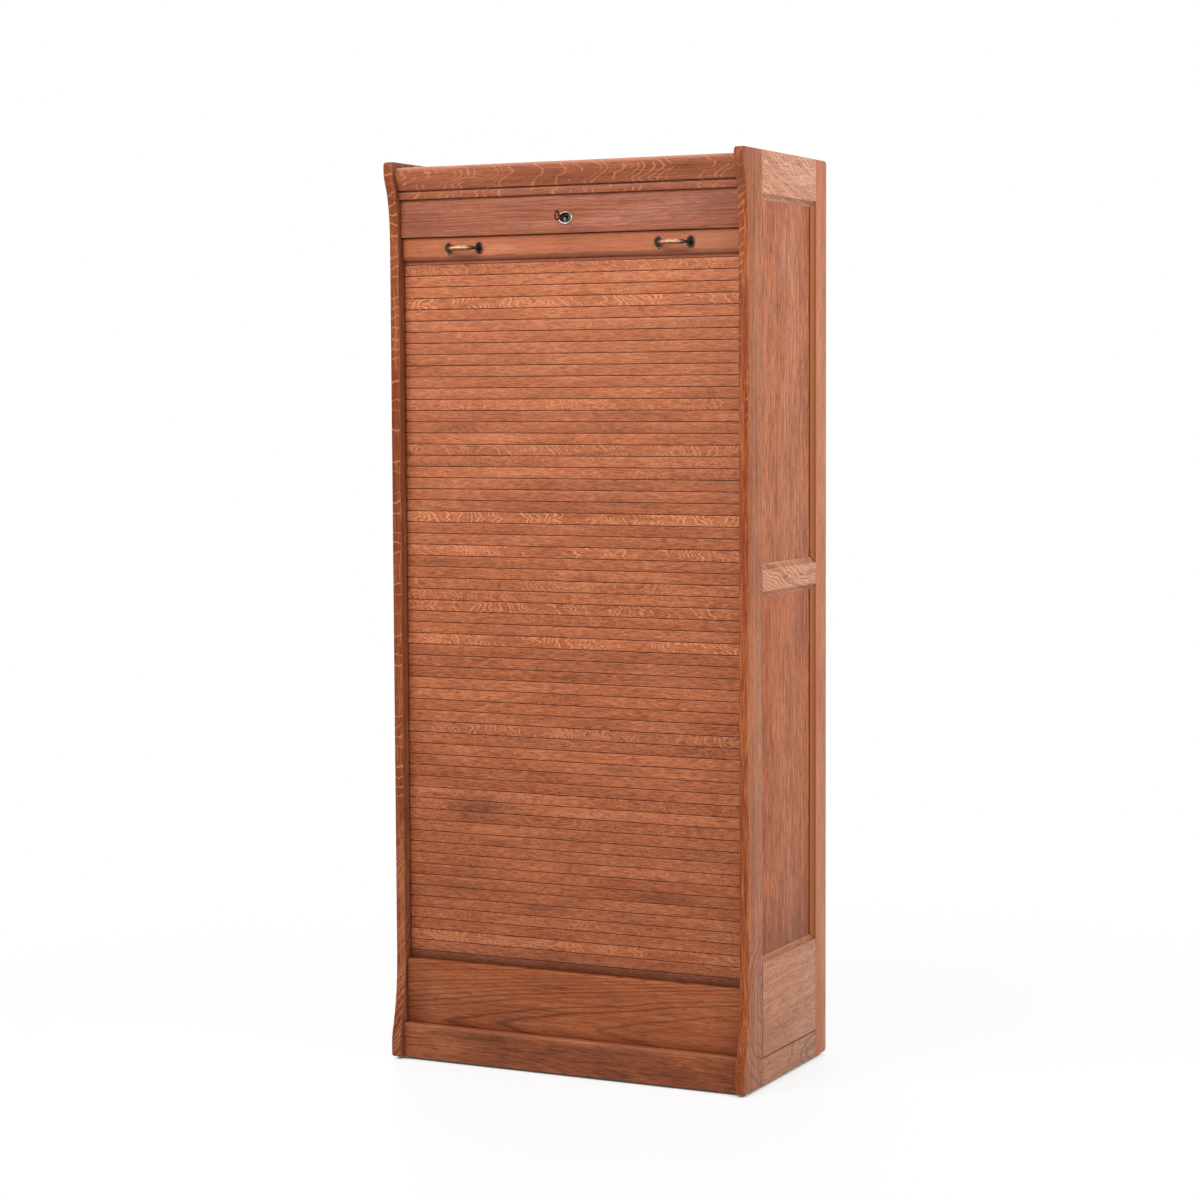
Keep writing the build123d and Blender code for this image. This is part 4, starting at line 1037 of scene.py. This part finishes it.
# %% The metal finish
CORNER_REACH = 0.004
SCRATCH_DEEP = 0.0001


def metal(name, tones, worn=0.5, shine=0.30, grain=300.0, uneven=0.8, corner_dark=0.6):
    """A worn metal: its tones go from the least to the most worn, each with the wear at which it shows."""
    finish, tree, shader = new_finish(name)
    place = own_place(tree)
    patch = cloudy(tree, place, (grain, grain, grain), detail=4.0)
    scratch = cloudy(tree, place, (grain * 0.6, grain * 6, grain * 6), detail=2.0)
    rubbed = calc(tree, "MULTIPLY_ADD", calc(tree, "SUBTRACT", patch, 0.5), uneven, settle(tree, worn))
    corners = step(tree, looked_round(tree, CORNER_REACH, False), 0.3, 0.9, corner_dark, 0.0)
    rubbed = calc(tree, "SUBTRACT", rubbed, corners)
    colour = tones[0][1]
    for (less, _), (more, tone) in zip(tones, tones[1:]):
        colour = mixed(tree, step(tree, rubbed, less, more), colour, tone)
    rough = step(tree, rubbed, 0.2, 0.8, shine + 0.22, shine - 0.06)
    paint(tree, shader, colour, calc(tree, "MULTIPLY_ADD", scratch, 0.16, rough))
    relief(tree, shader, scratch, 0.2, SCRATCH_DEEP)
    shader.inputs["Metallic"].default_value = 1.0
    return finish


def from_casting(tree):
    """Reads how worn each point of a casting is; on the handles' leaves this also holds painted highlight
    and shade.
    """
    return add(tree, "ShaderNodeAttribute", attribute_name="worn").outputs["Fac"]


BRONZE = [(0.0, (0.018, 0.018, 0.016)), (0.30, (0.105, 0.085, 0.065)), (0.60, (0.38, 0.150, 0.065)),
          (0.85, (0.66, 0.330, 0.180)), (1.05, (0.95, 0.660, 0.500))]
bronze = metal("worn_bronze", BRONZE, worn=from_casting, shine=0.20, uneven=0.7)
print("Bronze in", len(BRONZE), "tones")

# %% [markdown]
# ## The handles
#
# Each handle is one bronze casting: two oval feet, dished like small saucers, and a bow between them whose
# middle is a leaf with a ridge down its front. The bow is swept along half an oval: at each station the
# section goes from a round arm to the ridged leaf. Lofting tools could do the same, but here the ridge
# stays crisp, and each point can also keep a number for its wear and painted highlight.

# %% The oval feet
rail_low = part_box("lift_rail")[0]
HANDLE_SPAN, HANDLE_REACH = 0.074, 0.027
FOOT_HALF = (0.009, 0.013)
FOOT_RINGS = [  # share of the oval, height above the rail in metres, and wear
    (1.00, 0.0, 0.05), (1.00, 0.0013, 0.12), (0.97, 0.0024, 0.38), (0.91, 0.0030, 0.55),
    (0.83, 0.0027, 0.40), (0.74, 0.0019, 0.16), (0.55, 0.0013, 0.10), (0.30, 0.0013, 0.10),
    (0.0, 0.0013, 0.10),
]


def hoops(faces, first, count, around):
    """Faces between hoops of points that follow one another."""
    for r in range(count - 1):
        for n in range(around):
            a, b = first + r * around + n, first + r * around + (n + 1) % around
            faces.append((a, b, b + around, a + around))


def cast(name, points, faces, wear=None):
    """A mesh of hoops: points that lie together are joined, and the faces look outwards."""
    mesh = bpy.data.meshes.new(name)
    mesh.from_pydata(points, [], faces)
    if wear:
        mesh.attributes.new("worn", "FLOAT", "POINT").data.foreach_set("value", wear)
    shape = bmesh.new()
    shape.from_mesh(mesh)
    bmesh.ops.remove_doubles(shape, verts=shape.verts, dist=WELD)
    bmesh.ops.recalc_face_normals(shape, faces=shape.faces)
    shape.to_mesh(mesh)
    shape.free()
    return mesh


def oval_foot(points, faces, wear, middle, around=40):
    """A dished oval foot on the face of the rail."""
    first = len(points)
    for share, high, worn in FOOT_RINGS:
        for n in range(around):
            a = math.tau * n / around
            across, rise = (share * FOOT_HALF[0] * math.cos(a), share * FOOT_HALF[1] * math.sin(a))
            points.append(middle + Vector((across, -high, rise)))
            wear.append(worn)
    hoops(faces, first, len(FOOT_RINGS), around)


print("Feet", [2000 * s for s in FOOT_HALF], "mm")

# %% [markdown]
# The bow joins the feet. The front and the upper half of the leaf are bright, worn by fingers and with a
# painted highlight, while the arms and the back of the leaf are left dark. The leaf's half section below
# lists both: a shape, and how much wear and painted highlight it takes there. The lower half is a mirror
# of it with less of both, as painted shade.

# %% Cast the handles
ARM = 0.0031
LEAF_HALF = (0.0045, 0.0060)
LEAF = [  # half the leaf's section: forward and up as shares of its half sizes, and wear with painted highlight
    (1.0, 0.0, 1.0), (0.72, 0.36, 0.88), (0.42, 0.70, 0.84), (0.05, 1.0, 0.66), (-0.45, 0.80, 0.30),
    (-0.75, 0.40, 0.12), (-0.85, 0.0, 0.08),
]
# the lower half of the leaf takes this share of the wear and highlight, as painted shade
UNDERSIDE_SHADE = 0.50
LEAF_FROM, LEAF_OVER = 0.45, 0.45  # where the arm turns into the leaf, as shares of the reach
ARM_WEAR = 0.06


def bow(points, faces, wear, middle, stations=48):
    """The bow from foot to foot, round at the ends and a ridged leaf in the middle."""
    section = LEAF + [(front, -rise, UNDERSIDE_SHADE * worn) for front, rise, worn in reversed(LEAF[1:-1])]
    first = len(points)
    for s in range(stations + 1):
        turn = math.pi * s / stations
        round_x, round_y = HANDLE_SPAN / 2 * math.cos(turn), HANDLE_REACH * math.sin(turn)
        centre = middle + Vector((-round_x, -FOOT_RINGS[-1][1] - round_y, 0))
        outward = Vector((-round_x / HANDLE_SPAN ** 2, -round_y / (2 * HANDLE_REACH) ** 2, 0)).normalized()
        leaf = max(0.0, min(1.0, (math.sin(turn) - LEAF_FROM) / LEAF_OVER))
        leaf = leaf * leaf * (3 - 2 * leaf)
        for n, (front, rise, worn) in enumerate(section):
            a = math.tau * n / len(section)
            ahead_by = ARM * math.cos(a) * (1 - leaf) + LEAF_HALF[0] * front * leaf
            up_by = ARM * math.sin(a) * (1 - leaf) + LEAF_HALF[1] * rise * leaf
            points.append(centre + outward * ahead_by + Vector((0, 0, up_by)))
            wear.append(ARM_WEAR + (worn - ARM_WEAR) * leaf ** 2)
    hoops(faces, first, stations + 1, len(section))


def handle_mesh(side):
    """One handle: two feet and the bow between them."""
    low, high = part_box(side + "_handle")
    middle = Vector(((low.x + high.x) / 2, rail_low.y, (low.z + high.z) / 2))
    points, faces, wear = [], [], []
    for foot in (-HANDLE_SPAN / 2, HANDLE_SPAN / 2):
        oval_foot(points, faces, wear, middle + Vector((foot, 0, 0)))
    bow(points, faces, wear, middle)
    return cast(side + "_handle_cast", points, faces, wear)


for side in ("left", "right"):
    mesh = handle_mesh(side)
    casting = link(side + "_handle_cast", mesh, bronze, "shutter", [side + "_handle"])
    print(casting.name, "with", len(mesh.polygons), "faces")

# %% [markdown]
# The screws of the handles sit in the dishes of the feet. The CAD screws have their slots already, so a
# copy is pushed in until the heads rest in the dishes.

# %% Seat the handle screws
SEATED = 0.0012
BLACKENED = [(0.2, (0.015, 0.015, 0.015)), (0.9, (0.17, 0.16, 0.15))]
blackened = metal("blackened_screws", BLACKENED, worn=0.40, shine=0.38)
screws = eased_mesh("handle_screws", 0.0002, 0.01)[0]
for point in screws.vertices:
    point.co.y += SEATED
link("handle_screws_seated", screws, blackened, "shutter", ["handle_screws"])
print("Screws pushed in by", 1000 * SEATED, "mm")

# %% [markdown]
# ## The lock
#
# The lock shows as a bright oval ring, let into the board, with a dark plug behind it. The ring is a bead
# of metal with a sleeve that runs back through the wood: one section, carried round an oval. The bead is
# rubbed bright, and the sleeve is dull and grey.

# %% Turn the lock ring
ring_low, ring_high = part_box("lock_ring")
board_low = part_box("lock_board")[0]
BEAD = [  # inward from the outer edge and forward of the board, in metres, and wear
    (0.0, 0.0, 0.3), (0.0001, 0.0012, 0.7), (0.0006, 0.0021, 1.0), (0.0013, 0.0025, 1.0),
    (0.0020, 0.0022, 0.9), (0.0026, 0.0014, 0.55), (0.0028, 0.0004, 0.3), (0.0028, -0.0068, 0.3),
    (0.0028, -0.0180, 0.2), (0.0018, -0.0180, 0.2), (0.0018, 0.0, 0.2),
]


def lock_ring_mesh(around=96):
    """The bead and its sleeve, carried round the oval."""
    middle, half = (ring_low + ring_high) / 2, (ring_high - ring_low) / 2
    points, faces, wear = [], [], []
    for inward, forward, worn in BEAD + BEAD[:1]:
        for n in range(around):
            a = math.tau * n / around
            across, rise = (half.x - inward) * math.cos(a), (half.z - inward) * math.sin(a)
            points.append((middle.x + across, board_low.y - forward, middle.z + rise))
            wear.append(worn)
    hoops(faces, 0, len(BEAD) + 1, around)
    return cast("lock_ring_turned", points, faces, wear)


NICKEL = [(0.1, (0.10, 0.095, 0.095)), (0.45, (0.42, 0.40, 0.39)), (0.90, (0.88, 0.70, 0.61))]
nickel = metal("rosy_nickel", NICKEL, worn=from_casting, shine=0.22, uneven=0.3, corner_dark=0.2)
link("lock_ring_turned", lock_ring_mesh(), nickel, "carcass", ["lock_ring"])
IRON = [(0.2, (0.030, 0.030, 0.032)), (0.9, (0.23, 0.23, 0.24))]
grey_iron = metal("grey_iron", IRON, worn=0.50, shine=0.34)
ease("keyhole_boss", grey_iron, 0.0003, 0.001)
print("Ring", [round(1000 * s, 1) for s in ring_high - ring_low], "mm")

# %% [markdown]
# The key is a plain one with a round bow. The bow is a flattened hoop, the stem is turned with a collar,
# and a flat bit sits at its far end inside the lock. Loops of points make all three.

# %% File the key
key_low, key_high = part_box("key")
KEY_Z = 1.823  # the height of the stem
BOW_RADIUS, BOW_THICK = 0.009, (0.0020, 0.00175)
BOW_MIDDLE = key_low.y + BOW_RADIUS + BOW_THICK[0]
STEM = [  # distance behind the middle of the bow and radius, in metres
    (0.0082, 0.0026), (0.0096, 0.0029), (0.0110, 0.0025), (0.0130, 0.0022), (0.0168, 0.0022),
    (0.0170, 0.0033), (0.0176, 0.0036), (0.0184, 0.0036), (0.0190, 0.0033), (0.0192, 0.0022),
    (0.0629, 0.0022), (0.0634, 0.0017), (0.0634, 0.0),
]
BIT = ((-0.0012, -0.1715, 1.8142), (0.0012, -0.1677, 1.8215))  # two corners of the flat bit


def key_mesh(around=64, about=14, turned=24):
    """The hoop of the bow, the turned stem and the bit."""
    points, faces = [], []
    for n in range(around + 1):
        a = math.tau * n / around
        for m in range(about):
            b = math.tau * m / about
            reach = BOW_RADIUS + BOW_THICK[0] * math.cos(b)
            high = KEY_Z + reach * math.sin(a)
            points.append((BOW_THICK[1] * math.sin(b), BOW_MIDDLE + reach * math.cos(a), high))
    hoops(faces, 0, around + 1, about)
    first = len(points)
    for back, radius in STEM:
        for n in range(turned):
            a = math.tau * n / turned
            points.append((radius * math.cos(a), BOW_MIDDLE + back, KEY_Z + radius * math.sin(a)))
    hoops(faces, first, len(STEM), turned)
    first = len(points)
    for z in (BIT[0][2], BIT[1][2]):
        points += [(BIT[i][0], BIT[j][1], z) for i, j in ((0, 0), (1, 0), (1, 1), (0, 1))]
    hoops(faces, first, 2, 4)
    faces += [(first + 3, first + 2, first + 1, first), (first + 4, first + 5, first + 6, first + 7)]
    return cast("key_filed", points, faces)


BROWNED = [(0.15, (0.030, 0.012, 0.007)), (0.9, (0.23, 0.10, 0.055))]
browned = metal("browned_iron", BROWNED, worn=0.42, shine=0.34)
link("key_filed", key_mesh(), browned, "key", ["key"])
print("Key", round(1000 * (key_high.y - key_low.y), 1), "mm long")

# %% [markdown]
# ## Pieces that keep their CAD shape
#
# The lock case, its bolt and cam, the strike plate and the small screws are exact already. They only need a
# finish, so the CAD pieces stay and get new materials.

# %% Finish the hidden metal
STEEL = [(0.1, (0.16, 0.14, 0.12)), (0.9, (0.54, 0.53, 0.52))]
BRASS = [(0.1, (0.20, 0.12, 0.05)), (0.9, (0.72, 0.52, 0.24))]
plain_steel = metal("plain_steel", STEEL, worn=0.55, shine=0.32)
brass = metal("old_brass", BRASS, worn=0.6, shine=0.28)
KEPT = {
    "lock_case": grey_iron, "lock_cover": grey_iron, "lock_cam": brass, "lock_bolt": plain_steel,
    "strike_plate": brass, "strike_screws": plain_steel, "lock_screws": plain_steel,
    "cleat_screws": plain_steel, "back_screws": plain_steel,
}
for node, finish in KEPT.items():
    nodes[node].data.materials.clear()
    nodes[node].data.materials.append(finish)
print("Finished", ", ".join(KEPT))

# %% [markdown]
# ## The inside and the back
#
# Behind the shutter the cupboard is bare, unpolished wood: shelves on cleats, a thin false back and,
# outside, rough upright boards. It is the same recipe as the polished oak, with drier tones and hardly
# any shine.

# %% Dress the inner boards and the back
TONES["inner"] = ((0.20, 0.090, 0.038), (0.36, 0.175, 0.080), (0.47, 0.250, 0.125))
TONES["rough"] = ((0.17, 0.085, 0.042), (0.30, 0.160, 0.085), (0.40, 0.230, 0.130))
INNER = {
    "top_board": ("x", "rough"), "deck": ("x", "inner"), "false_back": ("z", "inner"),
    "false_back_battens": ("z", "inner"), "cleats": ("y", "inner"), "back_boards": ("z", "rough"),
    "back_rail": ("x", "rough"),
} | {f"shelf_{n}": ("x", "inner") for n in range(1, 5)}
back_low, back_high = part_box("back_boards")
BACK_COUNT, INNER_EASE = 6, 0.0010
BACK_BOARD = (back_high.x - back_low.x) / BACK_COUNT
for node, (grain, tone) in INNER.items():
    look = dict(flecks=[BLOTCHES], figured=0.25, polish=0.66, dirt_and_shade=0.5)
    if node == "back_boards":
        look |= dict(dirt_and_shade=0.9, corner=0.010, marks=[each_board("X", BACK_BOARD, 0.30)])
    finish = oak("oak_" + node, grain, TONES[tone], cut_spot(node), **look)
    print(node, "with", ease(node, finish, INNER_EASE), "eased edges")

# %% [markdown]
# ## The glides
#
# Small nailed glides keep the sides off the floor. They have yellowed like old bone and are scuffed.

# %% Finish the glides
def old_bone():
    """Yellowed and scuffed."""
    finish, tree, shader = new_finish("old_bone")
    patch = cloudy(tree, own_place(tree), (140.0, 140.0, 140.0), detail=4.0)
    tone = mixed(tree, step(tree, patch, 0.35, 0.65), (0.46, 0.38, 0.27), (0.80, 0.72, 0.58))
    paint(tree, shader, tone, step(tree, patch, 0.3, 0.7, 0.65, 0.45))
    return finish


ease("glides", old_bone(), 0.0006, 0.001)
print("Four glides")
